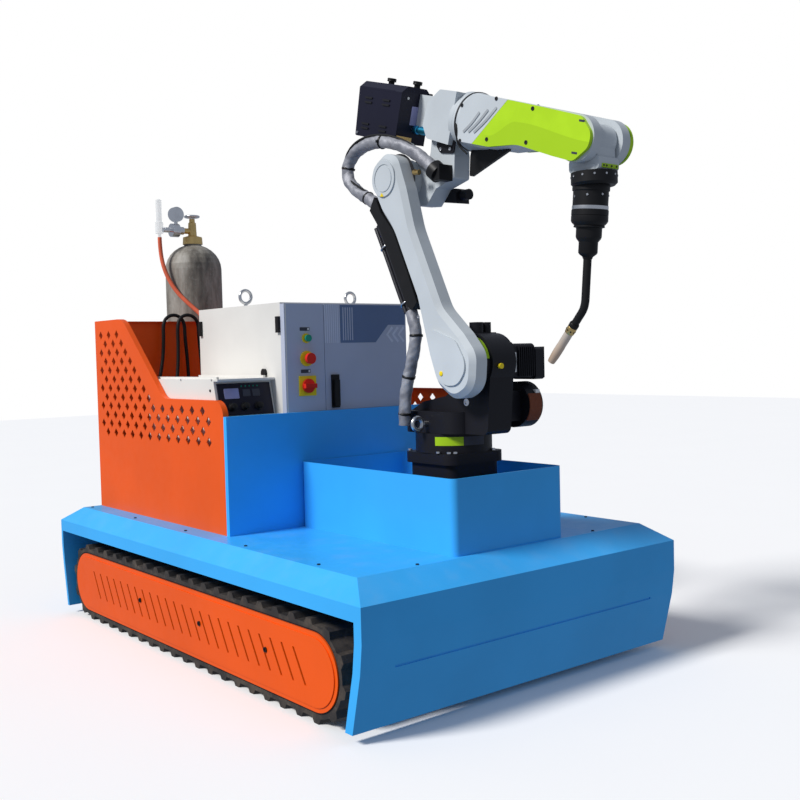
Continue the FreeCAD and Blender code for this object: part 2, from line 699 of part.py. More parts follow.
# ---------------------------------------------------------------- arm parts
def robot_base():
    """The foot casting: a square block with sloping corners and four bolt lugs."""
    half = BASE_HALF
    foot = box((J1_X - half, -half, TRAY_FLOOR_Z), (J1_X + half, half, TRAY_FLOOR_Z + 24))
    core = [(J1_X - half + 12, -half + 12, 26), (J1_X + half - 12, -half + 12, 26),
            (J1_X + half - 12, half - 12, 26), (J1_X - half + 12, half - 12, 26)]
    body = plate_z(outline(core), TRAY_FLOOR_Z, BASE_TOP_Z - 30)
    lid = plate_z(outline([(J1_X - half, -half, 34), (J1_X + half, -half, 34), (J1_X + half, half, 34),
                           (J1_X - half, half, 34)]), BASE_TOP_Z - 30, BASE_TOP_Z)
    return fused([foot, body, lid])


def turret():
    """The rotating casting: label ring, waist and the shoulder drum."""
    ring = rod_z(J1_X, 0, RING_RADIUS, BASE_TOP_Z + JOINT_GAP, RING_TOP_Z)
    waist_face = outline([(J1_X - 122, RING_TOP_Z), (J2_X + 52, RING_TOP_Z, 20), (J2_X + 70, J2_Z, 30),
                          (J2_X - 60, J2_Z, 30), (J2_X - 96, 790, 40), (J1_X - 60, 770, 20), (J1_X - 128, 736, 12)])
    waist = slab(waist_face, DRUM_OUTER_Y, DRUM_INNER_Y)
    shoulders = plate_z(outline([(J1_X - 122, -96, 50), (J1_X + 110, -96, 50), (J1_X + 124, 0, 40),
                                 (J1_X + 110, 100, 50), (J1_X - 122, 100, 50)]), RING_TOP_Z, 745)
    drum = rod_y(J2_X, J2_Z, DRUM_RADIUS, DRUM_OUTER_Y, DRUM_INNER_Y)
    neck = rod_y(J2_X, J2_Z, DRUM_RADIUS - 8, ARM_INNER_Y + JOINT_GAP, DRUM_OUTER_Y)
    return fused([ring, shoulders, waist, drum, neck] + turret_caps())


def turret_caps():
    """The two round plugs on top of the shoulder."""
    caps = []
    for y in (-25, 12):
        caps.append(rod_z(J2_X - 20, y, 19 if y < 0 else 13, J2_Z + DRUM_RADIUS + 2, J2_Z + DRUM_RADIUS + 30))
    saddle = box((J2_X - 42, -46, J2_Z + DRUM_RADIUS - 12), (J2_X + 4, 26, J2_Z + DRUM_RADIUS + 2))
    return [saddle] + caps


def shoulder_motor():
    half = MOTOR_SIDE / 2
    start = DRUM_INNER_Y
    flange = slab(outline([(J2_X - half, J2_Z - half, 8), (J2_X + half, J2_Z - half, 8),
                           (J2_X + half, J2_Z + half, 8), (J2_X - half, J2_Z + half, 8)]), start, start + 14)
    body = slab(outline([(J2_X - half + 4, J2_Z - half + 4, 14), (J2_X + half - 4, J2_Z - half + 4, 14),
                         (J2_X + half - 4, J2_Z + half - 4, 14), (J2_X - half + 4, J2_Z + half - 4, 14)]),
                start + 14, start + MOTOR_LENGTH - 34)
    cap = slab(outline([(J2_X - half + 12, J2_Z - half, 10), (J2_X + half, J2_Z - half, 10),
                        (J2_X + half, J2_Z + half - 16, 10), (J2_X - half + 12, J2_Z + half - 16, 10)]),
               start + MOTOR_LENGTH - 34, start + MOTOR_LENGTH)
    return fused([flange, body, cap])


def base_motor():
    """The J1 drive, a round housing low on the left of the turret, with its plug."""
    x = J2_X - 12
    z = 758
    housing = rod_y(x, z, 64, DRUM_INNER_Y + 73.3, DRUM_INNER_Y + 128)
    bridge = box((x - 40, DRUM_INNER_Y, z - 44), (x + 30, DRUM_INNER_Y + 73.3, z + 40))
    relief = box((J1_X - 140, DRUM_INNER_Y - 1, RING_TOP_Z - 1), (J1_X + 130, 101, 745.3))
    return fused([housing, bridge.cut(relief)])


def turret_eye_bolt():
    """The lifting eye on the right-hand shoulder."""
    y = -96
    shank = rod_y(J1_X - 5, 712, 7, y - 12, y)
    eye = Part.makeTorus(17, 6, Vector(J1_X - 5, y - 33, 712), Vector(1, 0, 0))
    return fused([shank, eye])


def lower_arm():
    """The cast link from shoulder to elbow, drawn along z from the J2 centre."""
    low = -ARM_FOOT_RADIUS
    top = LINK_LENGTH
    face = outline([
        (-84, -20, 60), (-40, low - 12, 60), (40, low - 12, 60), (88, -20, 60), (70, 50, 60),
        (30, 150, 90), (34, 400, 200), (56, top - 70, 90), (66, top + 30, 44), (30, top + 68, 40),
        (-30, top + 68, 40), (-66, top + 30, 44), (-62, top - 70, 80), (-44, 440, 200), (-46, 220, 90), (-76, 60, 90)])
    body = slab(face, ARM_OUTER_Y, ARM_INNER_Y)
    outer_edges = [e for e in body.Edges if abs(e.BoundBox.YMin - ARM_OUTER_Y) < 0.01
                   and abs(e.BoundBox.YMax - ARM_OUTER_Y) < 0.01]
    body = body.makeChamfer(14, outer_edges)
    return on_link(fused([body, lower_arm_cover(), elbow_disc()]))


def lower_arm_cover():
    """The raised teardrop panel over the shoulder end of the link."""
    face = outline([(0, -66, 46), (58, -40, 46), (50, 40, 40), (-26, 118, 14), (-52, 60, 60), (-56, -40, 46)])
    return slab(face, ARM_OUTER_Y - 5, ARM_OUTER_Y)


def elbow_disc():
    """The round cover on the elbow end of the link."""
    disc = rod_y(0, LINK_LENGTH, 50, ARM_OUTER_Y - 4, ARM_OUTER_Y)
    groove = rod_y(0, LINK_LENGTH, 40, ARM_OUTER_Y - 5, ARM_OUTER_Y - 2)
    inner = rod_y(0, LINK_LENGTH, 36, ARM_OUTER_Y - 4, ARM_OUTER_Y - 2)
    return fused([disc.cut(groove), inner])


def cable_guard():
    """The black channel that carries the hoses along the rear edge of the link."""
    face = outline([(-52, 214), (-47.8, 300), (-46, 440), (-67.5, 515), (-68.5, 556), (-72.2, 571), (-107.8, 549),
                    (-98, 500), (GUARD_EDGE, 470), (GUARD_EDGE, 225), (-78, 206)])
    return on_link(slab(face, ARM_OUTER_Y + 8, ARM_INNER_Y - 4))


def elbow_web():
    """The plate beside the J3 hub: foot, neck and the pad under the J4 block."""
    face = outline([(J3_X - 52, J3_Z - 44, 30), (J3_X + 32, J3_Z - 74, 8), (J3_X + 77, J3_Z - 78, 6),
                    (J3_X + 118, J3_Z - 36, 4), (J3_X + 194, J3_Z - 18, 6), (J3_X + 198, J3_Z + 42, 6),
                    (J3_X + 194, J3_Z + 78), (J3_X + 108, J3_Z + 116), (J3_X + 96, J3_Z + 50, 20),
                    (J3_X + 40, J3_Z + 52, 20), (J3_X - 40, J3_Z + 44, 30)])
    return slab(face, -50, WEB_BACK_Y)


def elbow_casting():
    """The J3 body: hub beside the link, web and the J4 block with its feeder bracket."""
    hub = rod_y(J3_X, J3_Z, 60, ARM_INNER_Y + JOINT_GAP, -50)
    block_face = outline([(46, -30, 20), (72, -64, 12), (166, -70), (166, 70), (96, 70, 16), (52, 30, 20)])
    block = slab(block_face, -70, 70)
    barrel = rod((160, 0, 0), (1, 0, 0), SEAM_RADIUS, 15.5)
    return fused([hub, elbow_web(), on_forearm(fused([block, barrel, feeder_bracket()]))])


def elbow_motor():
    """The J3 drive behind the web, with its plug in front."""
    face = outline([(J3_X + 30, J3_Z - 28), (J3_X + 138, J3_Z - 34), (J3_X + 138, J3_Z - 74), (J3_X + 30, J3_Z - 56)])
    body = slab(face, WEB_BACK_Y + 0.3, WEB_BACK_Y + 50)
    return fused([body, rod_x(WEB_BACK_Y + 24, J3_Z - 52, 15, J3_X + 138, J3_X + 168)])


def feeder_bracket():
    face = outline([(-80, -40), (20, -40), (45.5, -30), (60, 30), (52, 52), (-80, 52)])
    return slab(face, 8, 44)


def wire_feeder():
    """The wire feed unit behind the elbow, a flat closed case."""
    face = outline([(-288, 51, 6), (-277, -93, 6), (-96, -93, 6), (-108, 51, 6)])
    body = slab(face, -60, 50)
    deck = box((-107, -60, -92), (-80, 50, 46))
    knobs = [rod((x, 6, 51), (0, 0, 1), 14, 16) for x in (-150, -226)]
    return on_forearm(fused([body, deck] + knobs))


def feeder_fittings():
    """Brass hose tails under the front of the feeder."""
    tails = []
    for x, y in ((-66, -50), (-40, -50)):
        tails.append(rod((x, y, -102), (0, 0, 1), 9, 22))
    bar = box((-80, -58, -84), (-28, -42, -72))
    return on_forearm(fused(tails + [bar]))


def dress_socket():
    """The bracket on the right-hand side of the elbow, with the round hose socket."""
    x, y, z = SOCKET_END
    along = Vector(*SOCKET_END) - Vector(*SOCKET_BEFORE)
    ring = rod(SOCKET_END, along, 27, 26)
    bracket = box((x + 14, y - 16, z - 36), (x + 40, -50, z + 6))
    return fused([ring, bracket])


# Forearm parts are drawn along x from the J4 origin, with z across.
def forearm():
    half = FORK_OUTER_Y - COVER_PLATE
    end = FOREARM_LENGTH
    start = 175.5 + JOINT_GAP
    cone = Part.makeCone(SEAM_RADIUS, 66, 84, Vector(start + 10, 0, 0), Vector(1, 0, 0))
    flange = rod((start, 0, 0), (1, 0, 0), SEAM_RADIUS, 10)
    face = outline([(196, -40, 12), (216, -60, 12), (300, -62, 60), (418, -38, 120), (540, -44, 60),
                    (end, -FORK_RADIUS), (end, FORK_RADIUS), (430, 64, 200), (240, 72, 20), (196, 44, 12)])
    body = slab(face, -half, half)
    round_end = rod_y(end, 0, FORK_RADIUS, -half, half)
    slot = box((end - 68, -FORK_INNER_Y, -90), (end + 90, FORK_INNER_Y, 90))
    roof = box((end - 150, -FORK_INNER_Y, -90), (end - 66, FORK_INNER_Y, -24))
    hubs = []
    for low, high in ((-FORK_INNER_Y, -HAND_HALF_Y - JOINT_GAP), (HAND_HALF_Y + JOINT_GAP, FORK_INNER_Y)):
        hubs.append(rod_y(end, 0, 30, low, high))
    shell = fused([flange, cone, body, round_end]).cut([slot, roof])
    plate = forearm_grey_plate()
    return on_forearm(fused([shell, plate, mirrored(plate)] + hubs))


def forearm_grey_plate():
    face = outline([(212, -56, 10), (266, -56), (372, 66), (240, 70, 10), (200, 34, 10), (198, -30, 10)])
    return slab(face, -FORK_OUTER_Y, -FORK_OUTER_Y + COVER_PLATE)


def forearm_green_covers():
    end = FOREARM_LENGTH
    face = outline([(267, -56), (330, -56, 60), (430, -38, 160), (560, -50, 80), (end + 12, -54, 28),
                    (end + 52, -16, 28), (end + 52, 18, 28), (end + 12, 52, 28), (500, 60, 200), (373, 66)])
    cover = slab(face, -FORK_OUTER_Y, -FORK_OUTER_Y + COVER_PLATE)
    return on_forearm(Part.makeCompound([cover, mirrored(cover)]))


def forearm_guard():
    """The black plate under the rear of the forearm."""
    face = outline([(204, -40), (203, -90), (214, -142, 3), (222, -142, 3), (345, -58), (345, -40)])
    inside = slab(outline([(150, 0), (216, -60.3), (300, -62.3, 60), (418, -38.3), (418, 0)]), -66, 66)
    cone = Part.makeCone(SEAM_RADIUS + 0.5, 66.5, 84, Vector(185.5 + JOINT_GAP, 0, 0), Vector(1, 0, 0))
    return on_forearm(slab(face, -16, -6).cut([inside, cone]))


def wrist_cap():
    """The domed green cap on the far fork, over the J5 belt drive."""
    end = FOREARM_LENGTH
    disc = rod_y(end, 0, FORK_RADIUS - 4, FORK_OUTER_Y, FORK_OUTER_Y + 12)
    edges = [e for e in disc.Edges if e.BoundBox.YMin > FORK_OUTER_Y + 11]
    return on_forearm(disc.makeChamfer(5, edges))


def hand():
    """The wrist block that swings between the forks and carries the torch."""
    x = J5_X
    boss = rod_y(x, J5_Z, 42, -HAND_HALF_Y, HAND_HALF_Y)
    neck = box((x - 36, -HAND_HALF_Y, HAND_BOTTOM_Z + 12), (x + 36, HAND_HALF_Y, J5_Z))
    foot = plate_z(outline([(TORCH_X - 41, -41, 14), (TORCH_X + 41, -41, 14), (TORCH_X + 41, 41, 14),
                            (TORCH_X - 41, 41, 14)]), HAND_BOTTOM_Z, HAND_BOTTOM_Z + 12.5)
    return fused([boss, neck, foot])


def torch_flange():
    """The collision sensor disc bolted to the wrist."""
    z = HAND_BOTTOM_Z - JOINT_GAP
    return lathe([(0, z), (FLANGE_RADIUS, z), (FLANGE_RADIUS, z - 26), (FLANGE_RADIUS - 6, z - 32), (0, z - 32)],
                 TORCH_X, 0)


def torch_body():
    z = HAND_BOTTOM_Z - JOINT_GAP - 32
    profile = [(0, z), (47, z), (47, z - 20), (43, z - 22), (43, z - 42), (45, z - 44), (45, z - 68), (40, z - 70),
               (40, z - 76), (45, z - 78), (45, z - 92), (36, z - 112), (26, z - 128), (21, z - 134), (21, z - 155),
               (19, z - 157), (19, z - 168), (17, z - 172), (0, z - 172)]
    return lathe(profile, TORCH_X, 0)


def neck_direction():
    angle = math.radians(NECK_ANGLE)
    return Vector(-math.sin(angle), 0, -math.cos(angle))


def torch_neck():
    """The bent gas-cooled tube."""
    top = Vector(TORCH_X, 0, HAND_BOTTOM_Z - JOINT_GAP - 32 - 172)
    bend = Vector(TORCH_X, 0, NECK_BEND_Z)
    end = bend + neck_direction() * NOZZLE_START
    start, middle, finish = corner_arc(top, bend, end, 110)
    path = Part.Wire([Part.LineSegment(top, start).toShape(), Part.Arc(start, middle, finish).toShape(),
                      Part.LineSegment(finish, end).toShape()])
    section = Part.Wire([Part.makeCircle(NECK_TUBE_RADIUS, top, Vector(0, 0, -1))])
    return path.makePipeShell([section], True, False)


def torch_nozzle():
    start = Vector(TORCH_X, 0, NECK_BEND_Z) + neck_direction() * NOZZLE_START
    along = neck_direction()
    ring = Part.makeCylinder(NOZZLE_RADIUS + 2.5, 14, start, along)
    shell = Part.makeCylinder(NOZZLE_RADIUS, NOZZLE_LENGTH - 14, start + along * 14, along)
    return fused([ring, shell])


# ---------------------------------------------------------------- dress pack
DRESS_RADIUS = 17.0
ARM_HOSE_RADIUS = 9.0
HOSE_Y = (ARM_OUTER_Y + ARM_INNER_Y) / 2
SOCKET_BEFORE = (500, -88, 1454)
SOCKET_END = (550, -82, 1411)


def link_point(across, along):
    """A point of the lower arm's middle plane, from its offset and its distance from J2."""
    x = J2_X + (along * LINK_X + across * LINK_Z) / LINK_LENGTH
    z = J2_Z + (along * LINK_Z - across * LINK_X) / LINK_LENGTH
    return x, HOSE_Y, z


HOSE_EDGE = GUARD_EDGE - ARM_HOSE_RADIUS - 0.9
ARM_HOSE = [link_point(HOSE_EDGE, 214), link_point(HOSE_EDGE - 0.5, 300), link_point(HOSE_EDGE, 384),
            link_point(HOSE_EDGE - 1, 468), link_point(-109, 500)]
SHOULDER_SLEEVE = [(446, -124, 706), (450, -123, 768), (462, -120, 834), (484, -117, 904),
                   link_point(HOSE_EDGE, 154), link_point(HOSE_EDGE, 213.7)]
LOOP_HOSE = [link_point(-90.2, 560.3), link_point(-113.6, 598.2), (240, -110, 1387), (202, -107, 1412),
             (178, -104, 1448), (188, -102, 1486), (224, -101, 1512), (278, -100, 1523), (336, -100, 1519),
             (394, -99, 1507), (450, -95, 1485), SOCKET_BEFORE, SOCKET_END]


NODES = {
    "chassis_frame": chassis_frame,
    "deck_cover": deck_cover,
    "front_apron": front_apron,
    "rear_aprons": rear_aprons,
    "track_belt_right": track_belt,
    "track_belt_left": lambda: mirrored(track_belt()),
    "track_frame_right": track_frame,
    "track_frame_left": lambda: mirrored(track_frame()),
    "track_cover_right": track_cover,
    "track_cover_left": lambda: mirrored(track_cover()),
    "robot_tray": robot_tray,
    "bulkhead": bulkhead,
    "bin_side_right": bin_side,
    "bin_side_left": lambda: mirrored(bin_side()),
    "bin_rear_panel": bin_rear_panel,
    "control_cabinet": control_cabinet,
    "control_strip": control_strip,
    "cabinet_door": cabinet_door,
    "switch_collars": switch_collars,
    "start_button": start_button,
    "emergency_stop": emergency_stop,
    "isolator_knob": isolator_knob,
    "cabinet_lifting_eyes": cabinet_lifting_eyes,
    "cabinet_fittings": cabinet_fittings,
    "power_source": power_source,
    "power_source_panel": power_source_panel,
    "power_source_top": power_source_top,
    "gas_bottle": gas_bottle,
    "bottle_valve": bottle_valve,
    "bottle_handwheel": bottle_handwheel,
    "gas_regulator": gas_regulator,
    "flow_meter": flow_meter,
    "bottle_rack": bottle_rack,
    "gas_hose": lambda: tube(GAS_HOSE, GAS_HOSE_RADIUS, "gas_hose"),
    "supply_cable_one": lambda: tube(CABLE_ONE, CABLE_RADIUS, "supply_cable_one"),
    "supply_cable_two": lambda: tube(CABLE_TWO, CABLE_RADIUS, "supply_cable_two"),
    "robot_base": robot_base,
    "turret": turret,
    "shoulder_motor": shoulder_motor,
    "base_motor": base_motor,
    "turret_eye_bolt": turret_eye_bolt,
    "lower_arm": lower_arm,
    "cable_guard": cable_guard,
    "arm_hose": lambda: tube(ARM_HOSE, ARM_HOSE_RADIUS, "arm_hose"),
    "shoulder_sleeve": lambda: tube(SHOULDER_SLEEVE, DRESS_RADIUS, "shoulder_sleeve"),
    "elbow_casting": elbow_casting,
    "elbow_motor": elbow_motor,
    "wire_feeder": wire_feeder,
    "feeder_fittings": feeder_fittings,
    "dress_socket": dress_socket,
    "dress_loop": lambda: tube(LOOP_HOSE, DRESS_RADIUS, "dress_loop"),
    "forearm": forearm,
    "forearm_green_covers": forearm_green_covers,
    "forearm_guard": forearm_guard,
    "wrist_cap": wrist_cap,
    "hand": hand,
    "torch_flange": torch_flange,
    "torch_body": torch_body,
    "torch_neck": torch_neck,
    "torch_nozzle": torch_nozzle,
}

for name, make in NODES.items():
    shape = make()
    shape.exportStep("parts/" + name + ".step")
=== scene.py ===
import math

import bmesh
import bpy
from mathutils import Matrix, Vector


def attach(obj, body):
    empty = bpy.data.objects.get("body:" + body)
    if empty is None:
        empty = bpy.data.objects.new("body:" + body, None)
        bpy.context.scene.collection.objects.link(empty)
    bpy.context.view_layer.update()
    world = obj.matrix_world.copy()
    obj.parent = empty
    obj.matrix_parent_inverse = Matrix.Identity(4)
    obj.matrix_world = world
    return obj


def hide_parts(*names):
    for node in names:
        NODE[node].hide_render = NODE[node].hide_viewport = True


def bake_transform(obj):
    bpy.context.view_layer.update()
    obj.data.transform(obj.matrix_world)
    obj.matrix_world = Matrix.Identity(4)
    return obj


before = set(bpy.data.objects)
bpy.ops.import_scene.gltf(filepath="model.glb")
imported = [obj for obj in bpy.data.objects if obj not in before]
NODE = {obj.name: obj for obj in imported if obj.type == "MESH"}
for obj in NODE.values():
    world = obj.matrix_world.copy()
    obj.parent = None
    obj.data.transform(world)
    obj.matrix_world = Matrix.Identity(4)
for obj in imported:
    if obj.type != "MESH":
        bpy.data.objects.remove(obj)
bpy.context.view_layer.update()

MM = 0.001
AHEAD, LEFT, UP = (1, 0, 0), (0, 1, 0), (0, 0, 1)
RIGHT = (0, -1, 0)

# The forearm's own axis, in millimetres: along it towards the wrist, and up from it.
PITCH = math.radians(16.6)
FORE_ORIGIN = Vector((456.9, 0, 1584.0))
FORE_ALONG = Vector((math.cos(PITCH), 0, -math.sin(PITCH)))
FORE_UP = Vector((math.sin(PITCH), 0, math.cos(PITCH)))

# The lower arm from the J2 centre to the J3 centre.
SHOULDER = Vector((665.0, 0, 880.0))
LINK = Vector((-263.0, 0, 520.0))
LINK_ALONG = LINK.normalized()
LINK_ACROSS = Vector((LINK_ALONG.z, 0, -LINK_ALONG.x))
ELBOW = SHOULDER + LINK

KEY_STRENGTH = 3.25
FILL_STRENGTH = 0.34


# ------------------------ shader maths
class Value:
    """A socket that takes part in ordinary arithmetic."""

    def __init__(self, sheet, socket):
        self.sheet = sheet
        self.socket = socket

    def math(self, operation, *terms):
        return self.sheet.node("ShaderNodeMath", {"operation": operation}, *terms)

    def both_ways(operation):
        """An operator in its plain and its reflected form."""
        return (lambda self, other: self.math(operation, self, other),
                lambda self, other: self.math(operation, other, self))

    __add__, __radd__ = both_ways("ADD")
    __sub__, __rsub__ = both_ways("SUBTRACT")
    __mul__, __rmul__ = both_ways("MULTIPLY")

    def clamped(self):
        return self.sheet.node("ShaderNodeClamp", {}, self)

    def between(self, low, high):
        """Smoothly 0 at low and 1 at high."""
        settings = {"interpolation_type": "SMOOTHSTEP"}
        return self.sheet.node("ShaderNodeMapRange", settings, self, low, high)


class Sheet:
    """The node sheet of one finish, with its principled shader."""

    def __init__(self, name, base, rough, metal=0.0, **fixed):
        self.finish = bpy.data.materials.new(name)
        self.finish.use_nodes = True
        self.tree = self.finish.node_tree
        self.shader = self.tree.nodes["Principled BSDF"]
        self.set("Base Color", base)
        self.set("Roughness", rough)
        self.set("Metallic", metal)
        for key, value in fixed.items():
            self.shader.inputs[key.replace("_", " ")].default_value = value
        self.finish.diffuse_color = base + (1.0,)

    def node(self, kind, settings, *terms, out=0, **named):
        made = self.tree.nodes.new(kind)
        for key, value in settings.items():
            if key == "stops":
                self.fill_ramp(made.color_ramp, value)
            else:
                setattr(made, key, value)
        pairs = list(enumerate(terms)) + [(key.replace("_", " "), value) for key, value in named.items()]
        for key, value in pairs:
            self.feed(made.inputs[key], value)
        return Value(self, made.outputs[out])

    def fill_ramp(self, ramp, stops):
        while len(ramp.elements) < len(stops):
            ramp.elements.new(0.5)
        for element, (place, colour) in zip(ramp.elements, stops):
            element.position = place
            element.color = tuple(colour) + (1.0,)

    def feed(self, socket, value):
        if isinstance(value, Value):
            self.tree.links.new(value.socket, socket)
        elif isinstance(value, tuple) and len(value) == 3 and socket.type == "RGBA":
            socket.default_value = value + (1.0,)
        else:
            socket.default_value = value

    def set(self, name, value):
        self.feed(self.shader.inputs[name], value)

    def place(self):
        return self.node("ShaderNodeTexCoord", {}, out=3)

    def axis(self, letter):
        return self.node("ShaderNodeSeparateXYZ", {}, self.place(), out="XYZ".index(letter))

    def facing_up(self):
        normal = self.node("ShaderNodeNewGeometry", {}, out=1)
        return self.node("ShaderNodeSeparateXYZ", {}, normal, out=2)

    def stretched(self, scale):
        return self.node("ShaderNodeMapping", {"vector_type": "POINT"}, self.place(), Scale=scale)

    def noise(self, scale, detail=3.0, rough=0.55, at=None):
        at = at if at is not None else self.place()
        return self.node("ShaderNodeTexNoise", {}, Vector=at, Scale=scale, Detail=detail, Roughness=rough)

    def spots(self, scale, at=None):
        at = at if at is not None else self.place()
        return self.node("ShaderNodeTexVoronoi", {}, Vector=at, Scale=scale)

    def mixed(self, share, first, second):
        """A colour between two colours."""
        made = self.tree.nodes.new("ShaderNodeMix")
        made.data_type = "RGBA"
        self.feed(made.inputs[0], share)
        self.feed(made.inputs[6], first)
        self.feed(made.inputs[7], second)
        return Value(self, made.outputs[2])

    def finished(self, colour, rough, height, strength, reach):
        """The material, once its colour, roughness and bump are set."""
        self.set("Base Color", colour)
        self.set("Roughness", rough.clamped())
        self.set("Normal", self.node("ShaderNodeBump", {}, Strength=strength, Distance=reach, Height=height))
        return self.finish


def shade(colour, factor):
    """A lighter or deeper colour."""
    return tuple(min(1.0, c * factor) for c in colour)


def paint(name, colour, rough=0.34, coat=0.25, dust=0.12, grain=0.25):
    """Sprayed enamel: faint mottling, a fine skin, thin scuffs and dust where it faces up."""
    sheet = Sheet(name, colour, rough, Coat_Weight=coat, Coat_Roughness=0.12, Specular_IOR_Level=0.22)
    mottle = sheet.noise(2.3, 4.0)
    scuffs = sheet.noise(9.0, 6.0, 0.7, sheet.stretched((1.0, 1.0, 6.0))).between(0.62, 0.78)
    settled = sheet.facing_up().between(0.5, 1.0) * sheet.noise(14.0, 5.0).between(0.42, 0.75) * dust
    body = sheet.mixed(mottle.between(0.3, 0.7), shade(colour, 0.94), shade(colour, 1.05))
    worn = sheet.mixed(scuffs * 0.18, body, shade(colour, 0.72))
    dulled = rough + sheet.noise(28.0).between(0.3, 0.8) * 0.1 + settled * 0.4
    return sheet.finished(sheet.mixed(settled, worn, (0.62, 0.58, 0.52)), dulled, sheet.noise(420.0, 2.0), grain,
                          0.0002)


def casting(name, colour, rough=0.5, grit=0.5):
    """Painted cast metal with a fine sand texture and faint dirt."""
    sheet = Sheet(name, colour, rough, Coat_Weight=0.03, Coat_Roughness=0.3, Specular_IOR_Level=0.2)
    dirt = sheet.noise(7.0, 6.0, 0.65).between(0.5, 0.85)
    body = sheet.mixed(sheet.noise(3.0).between(0.3, 0.7), shade(colour, 0.92), shade(colour, 1.08))
    return sheet.finished(sheet.mixed(dirt * 0.25, body, shade(colour, 0.62)),
                          rough + dirt * 0.15, sheet.noise(650.0, 4.0, 0.7) + sheet.spots(900.0) * 0.3, grit, 0.0003)


def moulded(name, colour, rough=0.42, skin=0.3):
    """Moulded plastic or rubber with a fine matt skin."""
    sheet = Sheet(name, colour, rough, Specular_IOR_Level=0.22)
    cloudy = sheet.noise(16.0, 4.0)
    return sheet.finished(sheet.mixed(cloudy.between(0.3, 0.75), shade(colour, 0.88), shade(colour, 1.12)),
                          rough - 0.05 + cloudy * 0.12, sheet.noise(1100.0, 2.0), skin, 0.00015)


def metal(name, colour, rough=0.28, streak=(1.0, 1.0, 40.0)):
    """Bare or plated metal with fine turned marks and a little tarnish."""
    sheet = Sheet(name, colour, rough, 1.0)
    marks = sheet.noise(60.0, 4.0, 0.6, sheet.stretched(streak))
    tarnish = sheet.noise(22.0, 5.0).between(0.45, 0.8)
    return sheet.finished(sheet.mixed(tarnish * 0.45, colour, shade(colour, 0.6)),
                          rough + marks * 0.14 + tarnish * 0.12, marks, 0.12, 0.0001)


def tread_rubber():
    """Worn track rubber: dusty brown on the lugs and blacker in the gaps."""
    sheet = Sheet("track rubber", (0.035, 0.03, 0.027), 0.75)
    dried = sheet.noise(11.0, 8.0, 0.7).between(0.4, 0.72)
    clods = sheet.noise(55.0, 6.0, 0.7).between(0.5, 0.8)
    body = sheet.mixed(dried * 0.75, (0.022, 0.019, 0.018), (0.105, 0.082, 0.062))
    return sheet.finished(sheet.mixed(clods * 0.5, body, (0.17, 0.13, 0.10)),
                          0.62 + dried * 0.3, sheet.noise(160.0, 6.0, 0.7) + clods * 0.6, 0.6, 0.0012)


def weathered_steel():
    """Old grey-brown cylinder paint with dark stains, runs and rubbed bright spots."""
    sheet = Sheet("weathered cylinder", (0.22, 0.20, 0.17), 0.6)
    tall = sheet.stretched((1.0, 1.0, 0.28))
    stains = sheet.noise(13.0, 8.0, 0.68, tall)
    rubbed = sheet.noise(38.0, 8.0, 0.75).between(0.52, 0.7)
    ramp = {"stops": [(0.30, (0.06, 0.054, 0.047)), (0.45, (0.19, 0.172, 0.145)), (0.56, (0.31, 0.292, 0.258)),
                      (0.72, (0.45, 0.43, 0.395))]}
    body = sheet.node("ShaderNodeValToRGB", ramp, stains)
    return sheet.finished(sheet.mixed(rubbed * 0.35, body, (0.42, 0.41, 0.39)),
                          0.42 + stains * 0.3, stains + rubbed * 0.4, 0.35, 0.001)


def sleeve_cloth():
    """Coated silver-grey hose sleeve, finely woven and creased, with painted shade in the crease hollows and painted
    highlight on the ridges.
    """
    sheet = Sheet("silver sleeve", (0.26, 0.265, 0.30), 0.5, 0.2, Sheen_Weight=0.1, Sheen_Roughness=0.4)
    creases_and_painted_shade = sheet.noise(17.0, 4.0, 0.55, sheet.stretched((1.0, 1.0, 1.6)))
    weave = sheet.spots(1500.0)
    # The colour follows the crease height: painted shade in the hollows and painted highlight on the ridges.
    return sheet.finished(sheet.mixed(creases_and_painted_shade.between(0.3, 0.7), (0.17, 0.175, 0.205), (0.36, 0.37, 0.41)),
                          0.36 + creases_and_painted_shade * 0.22, creases_and_painted_shade + weave * 0.08, 0.8, 0.003)


def nozzle_metal():
    """Heat-tinted nickel on the gas nozzle."""
    sheet = Sheet("heat tinted nozzle", (0.70, 0.56, 0.43), 0.4, 0.35)
    spatter = sheet.noise(300.0, 4.0).between(0.6, 0.8)
    tint = sheet.axis("Z").between(0.88, 0.95)
    body = sheet.mixed(tint, (0.62, 0.45, 0.32), (0.66, 0.58, 0.50))
    return sheet.finished(sheet.mixed(spatter * 0.5, body, (0.25, 0.2, 0.16)),
                          0.28 + spatter * 0.3, sheet.noise(200.0), 0.2, 0.0003)


def lime_cover():
    """Lime cover plastic, with painted shade making it a shade deeper below the crease that runs along it."""
    sheet = Sheet("lime cover plastic", LIME_COLOUR, 0.3, Specular_IOR_Level=0.25)
    level = FORE_ALONG.x * sheet.axis("X") + FORE_ALONG.z * sheet.axis("Z") - FORE_ALONG.dot(FORE_ORIGIN) * MM
    up = FORE_UP.x * sheet.axis("X") + FORE_UP.z * sheet.axis("Z") - FORE_UP.dot(FORE_ORIGIN) * MM
    crease = level.between(0.325, 0.415) * 0.044 - level.between(0.44, 0.66) * 0.02 - 0.028
    # Painted shade: the part of the cover below the crease line is darkened.
    painted_shade_below_crease = (crease - up).between(-0.001, 0.001) * level.between(0.29, 0.33)
    cloudy = sheet.noise(16.0, 4.0).between(0.3, 0.75)
    body = sheet.mixed(cloudy, shade(LIME_COLOUR, 0.96), shade(LIME_COLOUR, 1.04))
    return sheet.finished(sheet.mixed(painted_shade_below_crease * 0.8, body, shade(LIME_COLOUR, 0.83)),
                          0.28 + cloudy * 0.06, sheet.noise(1100.0, 2.0), 0.15, 0.00015)


LIME_COLOUR = (0.44, 0.72, 0.018)

